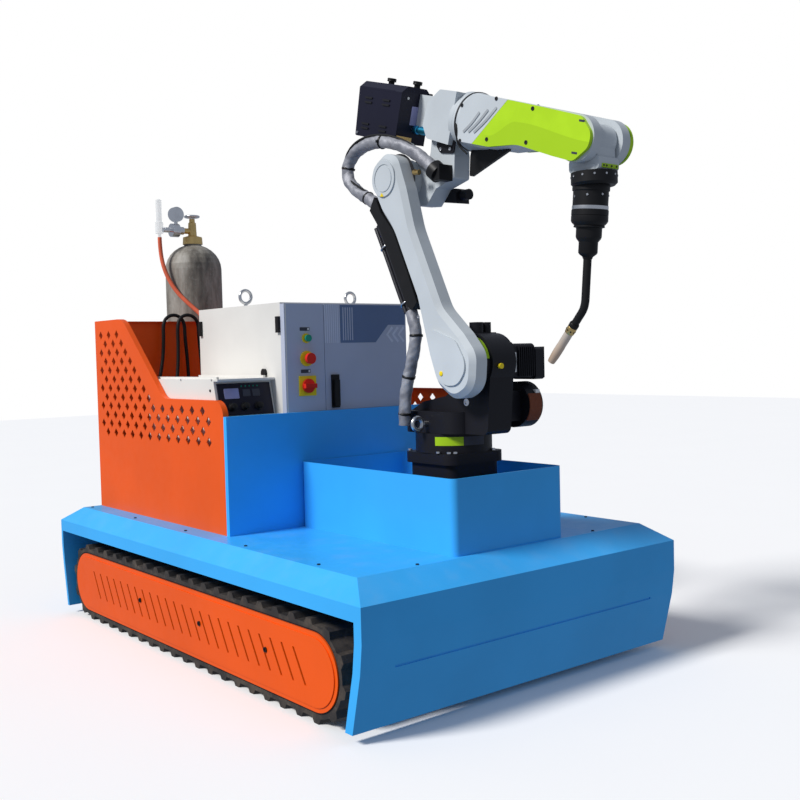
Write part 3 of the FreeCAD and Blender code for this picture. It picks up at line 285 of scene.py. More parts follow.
BLUE = paint("sky blue enamel", (0.044, 0.42, 0.92), coat=0.12, dust=0.06)
ORANGE = paint("orange enamel", (0.84, 0.098, 0.004), coat=0.08, dust=0.02)
WHITE_PAINT = paint("off-white powder coat", (0.72, 0.71, 0.68), 0.5, 0.05, 0.08, 0.6)
GREY_PAINT = paint("grey powder coat", (0.46, 0.50, 0.62), 0.48, 0.05, 0.05, 0.6)
SLATE = paint("slate panel paint", (0.13, 0.19, 0.33), 0.45, 0.05, 0.04, 0.5)
STRIPE = paint("pale stripe paint", (0.62, 0.66, 0.78), 0.45, 0.05, 0.04, 0.5)
BLACK_STEEL = casting("satin black steel", (0.014, 0.014, 0.017), 0.45, 0.3)
BLACK_CAST = casting("black casting paint", (0.010, 0.010, 0.014), 0.42, 0.6)
ROBOT_GREY = casting("light grey arm paint", (0.55, 0.595, 0.63), 0.38, 0.25)
PLATE_GREY = moulded("mid grey cover plastic", (0.40, 0.43, 0.46), 0.4)
LIME = lime_cover()
BLACK_PLASTIC = moulded("black plastic", (0.010, 0.010, 0.011), 0.42)
NAVY_STEEL = casting("blue-black sheet steel", (0.010, 0.010, 0.024), 0.34, 0.4)
RUBBER = moulded("black cable jacket", (0.012, 0.012, 0.013), 0.5)
TREAD = tread_rubber()
YELLOW = moulded("signal yellow plastic", (0.90, 0.68, 0.02), 0.3)
RED = moulded("signal red plastic", (0.72, 0.025, 0.015), 0.3)
GREEN_CAP = moulded("green button plastic", (0.01, 0.30, 0.19), 0.25)
STEEL = metal("bright plated steel", (0.72, 0.73, 0.75), 0.2)
DARK_SCREW = metal("blackened screw", (0.06, 0.06, 0.065), 0.4)
BRASS = metal("machined brass", (0.78, 0.55, 0.22), 0.26)
CHROME = metal("chrome plate", (0.82, 0.83, 0.85), 0.12)
BLUE_FITTING = metal("blue anodised fitting", (0.05, 0.42, 0.68), 0.3)
BOTTLE = weathered_steel()
SLEEVE = sleeve_cloth()
NOZZLE = nozzle_metal()
SALMON = moulded("salmon gas hose", (0.74, 0.15, 0.075), 0.4)
COPPER_WIRE = moulded("brown coil tape", (0.20, 0.06, 0.03), 0.5)
WHITE_PLASTIC = moulded("white plastic", (0.78, 0.79, 0.80), 0.4)
LABEL_DARK = moulded("dark label film", (0.05, 0.055, 0.075), 0.35)
LABEL_BLUE = moulded("deep blue label film", (0.30, 0.31, 0.55), 0.3)

CLEAR = Sheet("clear gauge plastic", (0.86, 0.90, 0.92), 0.06, Alpha=0.35).finish
HOSE_BLACK = moulded("glossy black hose", (0.022, 0.022, 0.028), 0.22, 0.1)
HOSE_BLACK.node_tree.nodes["Principled BSDF"].inputs["Specular IOR Level"].default_value = 0.5

FINISHES = (
    (BLACK_STEEL, "chassis_frame track_frame_right track_frame_left"),
    (BLUE, "deck_cover front_apron rear_aprons robot_tray bulkhead bottle_rack"),
    (TREAD, "track_belt_right track_belt_left"),
    (ORANGE, "track_cover_right track_cover_left bin_side_right bin_side_left bin_rear_panel"),
    (WHITE_PAINT, "control_cabinet power_source power_source_top"),
    (GREY_PAINT, "control_strip cabinet_door"),
    (YELLOW, "switch_collars"),
    (GREEN_CAP, "start_button"),
    (RED, "emergency_stop isolator_knob"),
    (STEEL, "cabinet_lifting_eyes bottle_handwheel turret_eye_bolt"),
    (BLACK_PLASTIC, "cabinet_fittings cable_guard dress_socket forearm_guard torch_flange torch_body torch_neck"),
    (NAVY_STEEL, "power_source_panel wire_feeder"),
    (BOTTLE, "gas_bottle"),
    (BRASS, "bottle_valve feeder_fittings"),
    (CHROME, "gas_regulator"),
    (CLEAR, "flow_meter"),
    (BLACK_CAST, "robot_base turret shoulder_motor base_motor elbow_motor"),
    (ROBOT_GREY, "lower_arm elbow_casting forearm hand"),
    (HOSE_BLACK, "arm_hose"),
    (LIME, "forearm_green_covers wrist_cap"),
    (NOZZLE, "torch_nozzle"),
)
for finish, node_names in FINISHES:
    for node_name in node_names.split():
        NODE[node_name].data.materials.clear()
        NODE[node_name].data.materials.append(finish)


# ------------------------ mesh makers
def placed(name, data):
    """A new object in the scene."""
    made = bpy.data.objects.new(name, data)
    bpy.context.scene.collection.objects.link(made)
    return made


def evaluated(thing):
    """The mesh that an object's curve or modifiers make."""
    bpy.context.view_layer.update()
    return bpy.data.meshes.new_from_object(thing.evaluated_get(bpy.context.evaluated_depsgraph_get()))


def keep_mesh(name, mesh, finish, body, smooth=35.0):
    """A visible piece; body is None for a piece that is attached to no body."""
    mesh.materials.clear()
    mesh.materials.append(finish)
    piece = placed(name, mesh)
    for polygon in mesh.polygons:
        polygon.use_smooth = smooth > 0
    if smooth > 0:
        mesh.set_sharp_from_angle(angle=math.radians(smooth))
    if body:
        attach(piece, body)
    return piece


def keep(bm, name, finish, body, smooth=35.0):
    """A visible piece from a bmesh, with its normals made consistent."""
    bmesh.ops.remove_doubles(bm, verts=bm.verts, dist=1e-6)
    bmesh.ops.recalc_face_normals(bm, faces=bm.faces)
    mesh = bpy.data.meshes.new(name)
    bm.to_mesh(mesh)
    bm.free()
    return keep_mesh(name, mesh, finish, body, smooth)


def upright(origin, along):
    """A matrix whose z runs along a direction, in metres from millimetres."""
    z = Vector(along).normalized()
    side = Vector(UP if abs(z.z) < 0.9 else AHEAD)
    x = (side - z * side.dot(z)).normalized()
    turn = Matrix((x, z.cross(x), z)).transposed().to_4x4()
    return Matrix.Translation(Vector(origin) * MM) @ turn @ Matrix.Scale(MM, 4)


def spokes(count, first=0.0):
    """The cosine and sine of evenly spaced angles."""
    angles = [2 * math.pi * index / count + first for index in range(count)]
    return [(math.cos(angle), math.sin(angle)) for angle in angles]


def turned(bm, profile, matrix, sides=40):
    """Adds a turned form: profile is (radius, height) from one end to the other; a radius of 0 is one point."""
    rings = []
    for radius, height in profile:
        round_it = spokes(sides) if radius > 0 else [(0, 0)]
        rings.append([bm.verts.new(matrix @ Vector((radius * c, radius * s, height))) for c, s in round_it])
    for low, high in zip(rings, rings[1:]):
        if len(low) == len(high) == 1:
            continue
        for index in range(sides):
            corners = [ring[place % len(ring)] for ring, place in
                       ((low, index), (low, index + 1), (high, index + 1), (high, index))]
            bm.faces.new(list(dict.fromkeys(corners)))


def lathe(name, profile, origin, along, finish, body, sides=40):
    bm = bmesh.new()
    turned(bm, profile, upright(origin, along), sides)
    return keep(bm, name, finish, body)


def prism(bm, points, low, high, matrix):
    """Adds a flat shape with a thickness; the points run in the matrix's x and y."""
    floor = [bm.verts.new(matrix @ Vector((x, y, low))) for x, y in points]
    roof = [bm.verts.new(matrix @ Vector((x, y, high))) for x, y in points]
    bm.faces.new(floor[::-1])
    bm.faces.new(roof)
    for index in range(len(points)):
        after = (index + 1) % len(points)
        bm.faces.new((floor[index], floor[after], roof[after], roof[index]))


def rounded(points, radius, steps=4):
    """The outline with its corners rounded."""
    out = []
    for index, corner in enumerate(points):
        corner = Vector(corner)
        before = (Vector(points[index - 1]) - corner)
        after = (Vector(points[(index + 1) % len(points)]) - corner)
        reach = min(radius, before.length * 0.45, after.length * 0.45)
        start = corner + before.normalized() * reach
        end = corner + after.normalized() * reach
        for step in range(steps + 1):
            t = step / steps
            out.append(tuple(start * (1 - t) ** 2 + corner * (2 * t * (1 - t)) + end * t ** 2))
    return out


def plates(name, shapes, low, high, matrix, finish, body, corner=0.0, bevel=0.0):
    """One object of flat shapes on one face."""
    bm = bmesh.new()
    for points in shapes:
        prism(bm, rounded(points, corner) if corner else points, low, high, matrix)
    if bevel:
        edges = [e for e in bm.edges if e.calc_face_angle(0.0) > 0.6]
        bmesh.ops.bevel(bm, geom=edges, offset=bevel * MM, segments=2, affect="EDGES", clamp_overlap=True)
    return keep(bm, name, finish, body, 30.0)


def rectangle(x0, y0, x1, y1):
    return [(x0, y0), (x1, y0), (x1, y1), (x0, y1)]


def face(origin, across, up):
    """Millimetres on a flat face: x runs across it, y up it and z out of it."""
    out = Vector(across).cross(Vector(up))
    turn = Matrix((Vector(across), Vector(up), out)).transposed().to_4x4()
    return Matrix.Translation(Vector(origin) * MM) @ turn @ Matrix.Scale(MM, 4)


def side_face(y):
    """A face that looks to the right-hand side."""
    return face((0, y, 0), AHEAD, UP)


def front_face(x):
    """A face that looks forwards."""
    return face((x, 0, 0), LEFT, UP)


def fore(u, y, v):
    """A point given along the forearm, across it and above its axis, in millimetres."""
    return FORE_ORIGIN + FORE_ALONG * u + Vector((0, y, 0)) + FORE_UP * v


def fore_face(y):
    """Along and above the forearm's axis, on a face that looks to the right-hand side."""
    return face(fore(0, y, 0), FORE_ALONG, FORE_UP)


def link(across, along, y=-114.0):
    """A point given across and along the lower arm, in millimetres."""
    return SHOULDER + LINK_ALONG * along + LINK_ACROSS * across + Vector((0, y, 0))


# ------------------------ repeated pieces
def screw_tree():
    """Puts one round screw head with a recess on every point, square to its facing."""
    tree = bpy.data.node_groups.new("screw heads", "GeometryNodeTree")
    socket = tree.interface.new_socket
    socket("Geometry", in_out="INPUT", socket_type="NodeSocketGeometry")
    for label, value in (("Radius", 0.004), ("Height", 0.003), ("Recess", 0.55), ("Depth", 0.6)):
        socket(label, in_out="INPUT", socket_type="NodeSocketFloat").default_value = value
    socket("Sides", in_out="INPUT", socket_type="NodeSocketInt").default_value = 14
    socket("Finish", in_out="INPUT", socket_type="NodeSocketMaterial")
    socket("Geometry", in_out="OUTPUT", socket_type="NodeSocketGeometry")

    def add(kind, settings, *terms, **named):
        made = tree.nodes.new(kind)
        for key, value in settings.items():
            setattr(made, key, value)
        for key, value in list(enumerate(terms)) + [(k.replace("_", " "), v) for k, v in named.items()]:
            if isinstance(value, bpy.types.NodeSocket):
                tree.links.new(value, made.inputs[key])
            else:
                made.inputs[key].default_value = value
        return made.outputs

    faces = {"mode": "FACES"}
    times = {"operation": "MULTIPLY"}
    given = add("NodeGroupInput", {})
    body = add("GeometryNodeMeshCylinder", {}, Vertices=given["Sides"], Radius=given["Radius"],
               Depth=given["Height"])
    inset = add("GeometryNodeExtrudeMesh", faces, Mesh=body["Mesh"], Selection=body["Top"], Offset_Scale=0.0)
    narrow = add("GeometryNodeScaleElements", {}, Geometry=inset["Mesh"], Selection=inset["Top"],
                 Scale=given["Recess"])
    sink = add("ShaderNodeMath", times, given["Height"], given["Depth"])
    down = add("ShaderNodeMath", times, sink[0], -1.0)
    well = add("GeometryNodeExtrudeMesh", faces, Mesh=narrow["Geometry"], Selection=inset["Top"],
               Offset_Scale=down[0])
    half = add("ShaderNodeMath", times, given["Height"], 0.46)
    lift = add("ShaderNodeCombineXYZ", {}, Z=half[0])
    raised = add("GeometryNodeTransform", {}, Geometry=well["Mesh"], Translation=lift[0])
    facing = add("GeometryNodeInputNamedAttribute", {"data_type": "FLOAT_VECTOR"}, Name="facing")
    align = add("FunctionNodeAlignRotationToVector", {"axis": "Z"}, Vector=facing["Attribute"])
    spread = add("GeometryNodeInstanceOnPoints", {}, Points=given["Geometry"], Instance=raised["Geometry"],
                 Rotation=align["Rotation"])
    real = add("GeometryNodeRealizeInstances", {}, Geometry=spread["Instances"])
    dressed = add("GeometryNodeSetMaterial", {}, Geometry=real["Geometry"], Material=given["Finish"])
    add("NodeGroupOutput", {}, Geometry=dressed["Geometry"])
    return tree


SCREW_TREE = screw_tree()


def screws(name, places, radius, height, finish, body, recess=0.55, depth=0.6, sides=14):
    """One mesh of screw heads: places are (point, facing) in millimetres."""
    points = bpy.data.meshes.new(name + "_points")
    points.from_pydata([tuple(Vector(p) * MM) for p, way in places], [], [])
    attribute = points.attributes.new("facing", "FLOAT_VECTOR", "POINT")
    for index, (point, way) in enumerate(places):
        attribute.data[index].vector = way
    carrier = placed(name + "_points", points)
    modifier = carrier.modifiers.new("heads", "NODES")
    modifier.node_group = SCREW_TREE
    values = {"Radius": radius * MM, "Height": height * MM, "Recess": recess, "Depth": depth, "Sides": sides,
              "Finish": finish}
    for item in SCREW_TREE.interface.items_tree:
        if item.in_out == "INPUT" and item.name in values:
            modifier[item.identifier] = values[item.name]
    made = evaluated(carrier)
    carrier.modifiers.clear()
    bpy.data.objects.remove(carrier)
    if "facing" in made.attributes:
        made.attributes.remove(made.attributes["facing"])
    return keep_mesh(name, made, finish, body, 30.0)


def facing(direction, places):
    """The places as screws takes them, when all of them look one way."""
    return [(place, tuple(direction)) for place in places]


# ------------------------ cords
def route(name, points, radius, finish):
    """A NURBS line through the given control points, in millimetres."""
    curve = bpy.data.curves.new(name, "CURVE")
    curve.dimensions = "3D"
    spline = curve.splines.new("NURBS")
    spline.points.add(len(points) - 1)
    for slot_point, point in zip(spline.points, points):
        slot_point.co = (point[0] * MM, point[1] * MM, point[2] * MM, 1.0)
    spline.order_u = 3
    spline.use_endpoint_u = True
    curve.resolution_u = 10
    curve.bevel_depth = radius * MM
    curve.bevel_resolution = 5
    curve.use_fill_caps = True
    if finish:
        curve.materials.append(finish)
    return placed(name, curve)


def line_points(name, points):
    """The route's own line, as points in metres."""
    line = route(name, points, 0.0, None)
    mesh = evaluated(line)
    path = [vertex.co.copy() for vertex in mesh.vertices]
    bpy.data.objects.remove(line)
    bpy.data.meshes.remove(mesh)
    return path


def free_cord(name, node, points, radius, finish):
    """A loose cord as long as its own route."""
    path = line_points("measure", points)
    line = route(name, points, radius, finish)
    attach(line, "carrier")
    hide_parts(node)


DECK_TOP = 382.3
BOTTLE_X = -1012.8
SOURCE_REAR_X = -520.3
gas_route = [(BOTTLE_X, -141.3, 1382), (BOTTLE_X, -141.3, 1322), (-990, -134, 1242), (-956, -109, 1170),
             (-912, -74, 1116), (-866, -42, 1070), (-838, -34, 990), (-824, -50, 900), (-806, -96, 812),
             (-772, -154, 736), (-716, -212, 684), (-650, -270, 648), (-584, -320, 632), (SOURCE_REAR_X, -320, 632)]


def arch(x, y):
    return [(x, y - 44.0, 1048.2), (x, y - 18.2, 1074.0), (x, y + 18.2, 1074.0), (x, y + 44.0, 1048.2)]


cable_one = [(SOURCE_REAR_X, -400, 560), (-584, -400, 560), (-664, -378, 588), (-736, -342, 642),
             (-796, -298, 718), (-840, -252, 808), (-868, -216, 904), (-876, -206, 988)]
cable_one += arch(-876, -162) + [(-876, -118, 990), (-872, -112, 900), (-862, -114, 760), (-846, -118, 610),
                                 (-832, -118, 490), (-832, -118, DECK_TOP)]
cable_two = [(SOURCE_REAR_X, -360, 500), (-584, -360, 500), (-660, -334, 526), (-726, -292, 580),
             (-778, -244, 658), (-818, -200, 752), (-846, -168, 856), (-858, -156, 944)]
cable_two += arch(-860, -112) + [(-860, -68, 990), (-856, -62, 890), (-844, -62, 760), (-826, -66, 610),
                                 (-812, -66, 490), (-812, -66, DECK_TOP)]


free_cord("gas_hose_line", "gas_hose", gas_route, 8.0, SALMON)
free_cord("supply_line_one", "supply_cable_one", cable_one, 6.5, RUBBER)
free_cord("supply_line_two", "supply_cable_two", cable_two, 6.5, RUBBER)


# ------------------------ sleeves and hoses
def swept(bm, path, radius, sides, step, wrinkle=0.0, seed=0.0):
    """Adds a tube of metres along a path, its radius creased like loose cloth when wrinkle is set."""
    lengths = [0.0]
    for a, b in zip(path, path[1:]):
        lengths.append(lengths[-1] + (b - a).length)
    count = max(4, int(lengths[-1] / (step * MM)))
    stations = []
    place = 0
    for index in range(count + 1):
        want = lengths[-1] * index / count
        while place < len(path) - 2 and lengths[place + 1] < want:
            place += 1
        share = (want - lengths[place]) / max(1e-9, lengths[place + 1] - lengths[place])
        stations.append(path[place].lerp(path[place + 1], min(1.0, share)))
    side = None
    before = None
    for index, centre in enumerate(stations):
        ahead = (stations[min(index + 1, count)] - stations[max(index - 1, 0)]).normalized()
        if side is None:
            side = ahead.orthogonal().normalized()
        side = (side - ahead * side.dot(ahead)).normalized()
        other = ahead.cross(side)
        ring = []
        for spoke in range(sides):
            angle = 2 * math.pi * spoke / sides
            crease = (math.sin(index * 0.41 + 2.4 * math.sin(angle + seed)) * 0.4
                      + math.sin(index * 0.13 + 3 * angle + seed) * 0.5
                      + math.sin(index * 0.87 - 4 * angle + 2 * seed) * 0.22)
            reach = radius * MM * (1.0 + wrinkle * crease)
            ring.append(bm.verts.new(centre + (side * math.cos(angle) + other * math.sin(angle)) * reach))
        if before:
            for spoke in range(sides):
                after = (spoke + 1) % sides
                bm.faces.new((before[spoke], before[after], ring[after], ring[spoke]))
        else:
            bm.faces.new(ring[::-1])
        before = ring
    bm.faces.new(before)
    return stations


def tie(bm, stations, share, radius, width=7.0):
    """Adds a strap round a swept tube at a share of its length."""
    index = max(1, min(len(stations) - 2, round(share * (len(stations) - 1))))
    along = stations[index + 1] - stations[index - 1]
    matrix = upright(stations[index] / MM, along)
    half = width / 2
    turned(bm, [(0, -half), (radius, -half), (radius + 1.2, 0), (radius, half), (0, half)], matrix, 24)
    head = [(x, radius - 1.5) for x in (-3.5, 3.5)] + [(x, radius + 4.5) for x in (3.5, -3.5)]
    prism(bm, head, -half, half, matrix)


def sleeve(name, node, points, radius, seed, ties):
    """A creased cloth sleeve with its straps, attached to no body."""
    path = line_points(name + "_path", points)
    bm = bmesh.new()
    stations = swept(bm, path, radius, 32, 3.5, 0.1, seed)
    piece = keep(bm, name, SLEEVE, None)
    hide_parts(node)
    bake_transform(piece)
    bm = bmesh.new()
    for share in ties:
        tie(bm, stations, share, radius + 1.0)
    straps = keep(bm, name + "_ties", BLACK_PLASTIC, None)
    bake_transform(straps)


loop_points = [link(-90.2, 560.3), link(-113.6, 598.2), (240, -110, 1387), (202, -107, 1412), (178, -104, 1448),
               (188, -102, 1486), (224, -101, 1512), (278, -100, 1523), (336, -100, 1519), (394, -99, 1507),
               (450, -95, 1485), (500, -88, 1454), (550, -82, 1411)]
LOOP_START = (0.332, -0.11, 1.339)
LOOP_END = (0.550, -0.082, 1.411)
sleeve("dress_sleeve", "dress_loop", loop_points, 18.0,
       0.4, (0.07, 0.33, 0.63))
shoulder_points = [(446, -124, 706), (450, -123, 768), (462, -120, 834), (484, -117, 904), link(-103.9, 154),
                   link(-103.9, 213.7)]
sleeve("shoulder_cloth", "shoulder_sleeve", shoulder_points, 17.0,
       1.3, (0.10, 0.42, 0.78))


def hose(name, points, radius, finish, body, blend=None):
    path = line_points(name + "_path", points)
    bm = bmesh.new()
    swept(bm, path, radius, 12, 6.0)
    piece = keep(bm, name, finish, None if blend else body)
    if blend:
        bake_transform(piece)
    return piece


beside_loop = [Vector(p) + Vector((-6, -6, 20)) for p in loop_points[1:]]
beside_loop[-1] = Vector((548, -88, 1424))
hose("loop_wire", beside_loop, 4.0, RUBBER, "upper_arm",
     ("lower_arm", "upper_arm", LOOP_START, LOOP_END))

# ------------------------ torch
J5_CENTRE = Vector((1045.8, 0, 1417.5))
LEAN = math.radians(5.1)
TOOL_ALONG = Vector((-math.sin(LEAN), 0, -math.cos(LEAN)))
NECK_LEAN = math.radians(41.1)
NOZZLE_ALONG = Vector((-math.sin(NECK_LEAN), 0, -math.cos(NECK_LEAN)))
NECK_BEND = J5_CENTRE + TOOL_ALONG * 409.0
NOZZLE_ROOT = NECK_BEND + NOZZLE_ALONG * 62.5

housing = [(0, 98), (44, 98), (45.4, 101), (45.4, 127), (43, 129), (43, 163), (43.6, 163.4)]
grip = [(43.6, 172.9), (45, 174), (45, 186), (44, 187), (45, 188), (45, 200), (43, 204), (38, 209), (36.5, 211),
        (37.8, 212), (37.8, 215), (32, 216.5), (31.5, 218), (31.5, 238), (29.5, 243), (24.5, 249), (23.5, 251),
        (23.5, 276), (21, 280), (13, 286), (11.4, 291), (0, 291)]
torch_shape = lathe("torch_housing", housing + grip, J5_CENTRE, TOOL_ALONG, BLACK_PLASTIC, "torch",
                    56)
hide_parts("torch_body")
lathe("torch_band", [(42.4, 163.6), (44, 163.9), (44.2, 168), (44, 172.4), (42.4, 172.7)], J5_CENTRE,
      TOOL_ALONG, STEEL, "torch", 56)
latches = []
for turn in (-70, -20, 30, 80, 130, 180, 230):
    out = Vector((math.sin(math.radians(turn)), -math.cos(math.radians(turn)), 0))
    latches.append((J5_CENTRE + TOOL_ALONG * 141.0 + out * 42.9, tuple(out)))
screws("torch_latches", latches, 3.4, 1.6, STEEL, "torch", 0.5, 0.3, 4)

neck_points = [J5_CENTRE + TOOL_ALONG * 284, J5_CENTRE + TOOL_ALONG * 320, J5_CENTRE + TOOL_ALONG * 366,
               NECK_BEND, NECK_BEND + NOZZLE_ALONG * 34, NOZZLE_ROOT + NOZZLE_ALONG * 4]
neck = hose("torch_swan_neck", neck_points, 10.2, BLACK_PLASTIC, "torch")
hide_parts("torch_neck")
nozzle_profile = [(0, 18), (11, 18), (11.2, 40), (11, 60), (11.6, 62), (11.4, 90), (10, 108), (9.4, 113), (7.8, 113),
                  (7.4, 100), (0, 100)]
nozzle = lathe("torch_gas_nozzle", nozzle_profile, NOZZLE_ROOT, NOZZLE_ALONG, NOZZLE, "torch", 48)
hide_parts("torch_nozzle")
lathe("torch_neck_collar", [(0, -12), (11.6, -12), (12.6, -10), (12.6, -2), (11.6, 0), (0, 0)], NOZZLE_ROOT,
      NOZZLE_ALONG, BLACK_PLASTIC, "torch", 40)
ring_profile = [(0, -1), (11.6, -1), (12.4, 0), (12.4, 17), (11.6, 18.5), (0, 18.5)]
lathe("torch_brass_ring", ring_profile, NOZZLE_ROOT, NOZZLE_ALONG, BRASS, "torch", 48)
ring_side = NOZZLE_ALONG.cross(Vector(LEFT)).normalized()
ring_dots = []
for cosine, sine in spokes(8):
    out = ring_side * cosine + Vector(LEFT) * sine
    ring_dots.append((NOZZLE_ROOT + NOZZLE_ALONG * 9 + out * 12.3, tuple(out)))
# Painted shade: dark discs stand in for the gas ports round the brass ring.
screws("painted_shade_nozzle_ports", ring_dots, 2.2, 0.8, DARK_SCREW, "torch", 0.6, 0.5, 10)
lathe("contact_tip", [(0, 96), (3.4, 96), (3.4, 108), (2.4, 112), (0.7, 112.5), (0.6, 116), (0, 116)],
      NOZZLE_ROOT, NOZZLE_ALONG, BRASS, "torch", 20)
flange_dots = [(Vector((1045 + 55.9 * c, 55.9 * s, 1323)), (c, s, 0)) for c, s in spokes(12, 0.2)]
screws("flange_screws", flange_dots, 2.6, 1.2, STEEL, "torch")
plates("hand_foot", [rectangle(998, 1333.2, 1091, 1366)], -37.0, 37.0, side_face(0.0), ROBOT_GREY, "hand",
       10.0, 3.0)
plates("hand_foot_front", [rectangle(-26, 1337, 33, 1347)], -1.0, 1.2, front_face(1091.0), LIME, "hand",
       2.0)
screws("hand_foot_screws", facing(AHEAD, [(1092.4, y, 1342) for y in (-20, -10, 8, 26)]), 2.4, 0.9, DARK_SCREW,
       "hand")


# ------------------------ forearm and elbow
def strip(points, width):
    """The outline of a band of one width along a line of points."""
    left = []
    right = []
    for index, point in enumerate(points):
        before = Vector(points[max(0, index - 1)])
        after = Vector(points[min(len(points) - 1, index + 1)])
        along = (after - before).normalized()
        out = Vector((-along.y, along.x)) * width / 2
        left.append(tuple(Vector(point) + out))
        right.append(tuple(Vector(point) - out))
    return left + right[::-1]


def smooth_line(points, steps=6):
    """A curve through the points."""
    made = []
    for index in range(len(points) - 1):
        p0 = Vector(points[max(0, index - 1)])
        p1 = Vector(points[index])
        p2 = Vector(points[index + 1])
        p3 = Vector(points[min(len(points) - 1, index + 2)])
        for step in range(steps):
            t = step / steps
            made.append(tuple(0.5 * (p1 * 2 + (p2 - p0) * t + (p0 * 2 - p1 * 5 + p2 * 4 - p3) * t * t
                                     + (p1 * 3 - p0 - p2 * 3 + p3) * t ** 3)))
    return made + [tuple(points[-1])]


COVER_FACE = fore_face(-76.0)
ribs = [strip(smooth_line([a, ((a[0] + b[0]) / 2 + 2, (a[1] + b[1]) / 2 - 2), b]), 7.0) for a, b in
        (((227, -30), (277, 26)), ((247, -28), (308, 35)), ((268, -27), (338, 44)))]
plates("cover_ribs", ribs, -0.5, 2.0, COVER_FACE, PLATE_GREY, "forearm", 2.5, 0.9)
# Painted shade: two flat dark films stand in for the slots in the cover.
plates("painted_shade_cover_slots", [rectangle(624, 38.5, 642, 43.5), rectangle(620, -36.5, 638, -31.5)], -0.5, 0.5, COVER_FACE,
       LABEL_DARK, "forearm", 2.0)
cover_places = [fore(u, -76, v) for u, v in
                ((204, 37), (331, 65), (466, 53), (219, -54), (321, -38), (464, -29))]
cover_heads = facing(RIGHT, cover_places) + facing(LEFT, [Vector((p.x, 76, p.z)) for p in cover_places])
screws("cover_screws", cover_heads, 5.2, 1.6, DARK_SCREW, "forearm", 0.5, 0.8, 18)

lathe("elbow_dark_ring", [(60, -0.3), (74, -0.3), (74, 1.4), (60, 1.4)], (ELBOW.x, -87.6, ELBOW.z), RIGHT,
      DARK_SCREW, "upper_arm", 64)

feeder_plate = [(105.7, -56.4), (160, -46), (174, -54), (177, -90), (120, -96), (100, -78)]
plates("elbow_black_plate", [feeder_plate], 0.0, 4.0, fore_face(-50.2), BLACK_CAST, "upper_arm",
       8.0, 0.8)
plate_corners = ((109, -61), (157.4, -57.4), (160.9, -80.6), (122, -86))
screws("elbow_plate_screws", facing(RIGHT, [fore(u, -54.4, v) for u, v in plate_corners]), 4.6, 2.4, STEEL,
       "upper_arm", 0.55, 0.7, 16)
lathe("red_connector", [(0, 0), (7, 0), (7, 9), (5.5, 10), (5.5, 15), (0, 15)], fore(186.5, -60, -9.3), RIGHT,
      RED, "upper_arm", 24)
wire = ((186.5, -72, -9), (196, -78, -16), (202, -78, -34), (205, -74, -56), (216, -68, -72), (240, -62, -84))
hose("elbow_signal_wire", [fore(*place) for place in wire], 2.6, RUBBER, "upper_arm")
lathe("hose_fitting", [(0, 0), (7.5, 0), (7.5, 9), (6, 10), (6, 17), (7.5, 18), (7.5, 24), (0, 24)], (480, -95, 1411),
      (1, 0, -0.15), BRASS, "upper_arm", 6)

# ------------------------ wire feeder
FEEDER_SIDE = fore_face(-60.2)
hoods = []
for u in (-232, -146):
    for v in (14, -61):
        hoods += [rectangle(u - 17, v + 4, u + 17, v + 9), rectangle(u - 17, v - 9, u + 17, v - 4)]
plates("feeder_louvres", hoods, -0.5, 3.2, FEEDER_SIDE, BLACK_STEEL, "upper_arm", 2.4, 1.0)
plates("feeder_rear_louvres", [[(-x, y) for x, y in hood][::-1] for hood in hoods], -0.5, 3.2,
       face(fore(0, 45.0, 0), -FORE_ALONG, FORE_UP), BLACK_STEEL, "upper_arm", 2.4, 1.0)
screws("feeder_screws", facing(RIGHT, [fore(u, -60.2, v) for u, v in ((-268, -84), (-150, -86))]),
       4.0, 2.0, STEEL, "upper_arm", 0.5, 0.7, 16)
FEEDER_FRONT_U = -79.8
FEEDER_FRONT = face(fore(FEEDER_FRONT_U, 0, 0), LEFT, FORE_UP)
plates("feeder_label", [rectangle(-16, -38, 42, 15)], 0.0, 0.6, FEEDER_FRONT, LABEL_BLUE, "upper_arm",
       3.0)
plates("feeder_plate_low", [rectangle(-56, -90, -30, -72)], 0.0, 1.2, FEEDER_FRONT, LABEL_DARK, "upper_arm",
       2.0)
screws("feeder_front_screws", facing(FORE_ALONG, [fore(FEEDER_FRONT_U, y, v) for y, v in ((-35, 35), (22, 38))]),
       3.6, 2.0, STEEL, "upper_arm", 0.5, 0.7, 14)
lathe("feeder_blue_fitting", [(0, 0), (12, 0), (12, 14), (9.5, 16), (9.5, 26), (12, 28), (12, 56), (8, 60), (8, 74),
                              (0, 74)], fore(-80.0, 8, -48), FORE_ALONG, BLUE_FITTING, "upper_arm",
      28)

# ------------------------ lower arm and turret
screws("guard_screws", facing(RIGHT, [(446.5, -125, 1159), (521, -125, 1007.5)]), 4.4, 2.4, STEEL, "lower_arm",
       0.55, 0.7, 16)
lathe("arm_yellow_mark", [(0, 0), (6.5, 0), (6.5, 1.8), (5.4, 2.4), (0, 2.4)], (633, -144.9, 852), RIGHT, YELLOW,
      "lower_arm", 28)
plates("elbow_yellow_mark", [[(388, 1352), (404, 1350), (396, 1361)]], -0.5, 0.6, side_face(-145.0), YELLOW,
       "lower_arm")
screws("base_screws", facing(UP, [(567, -105, 632), (600, -95, 632), (609, -80, 632), (612, 60, 632),
                                  (430, -92, 632), (425, 90, 632)]), 6.0, 5.0, STEEL, "carrier",
       0.6, 0.7, 18)


RING_X = 515
RING_RADIUS = 108.5


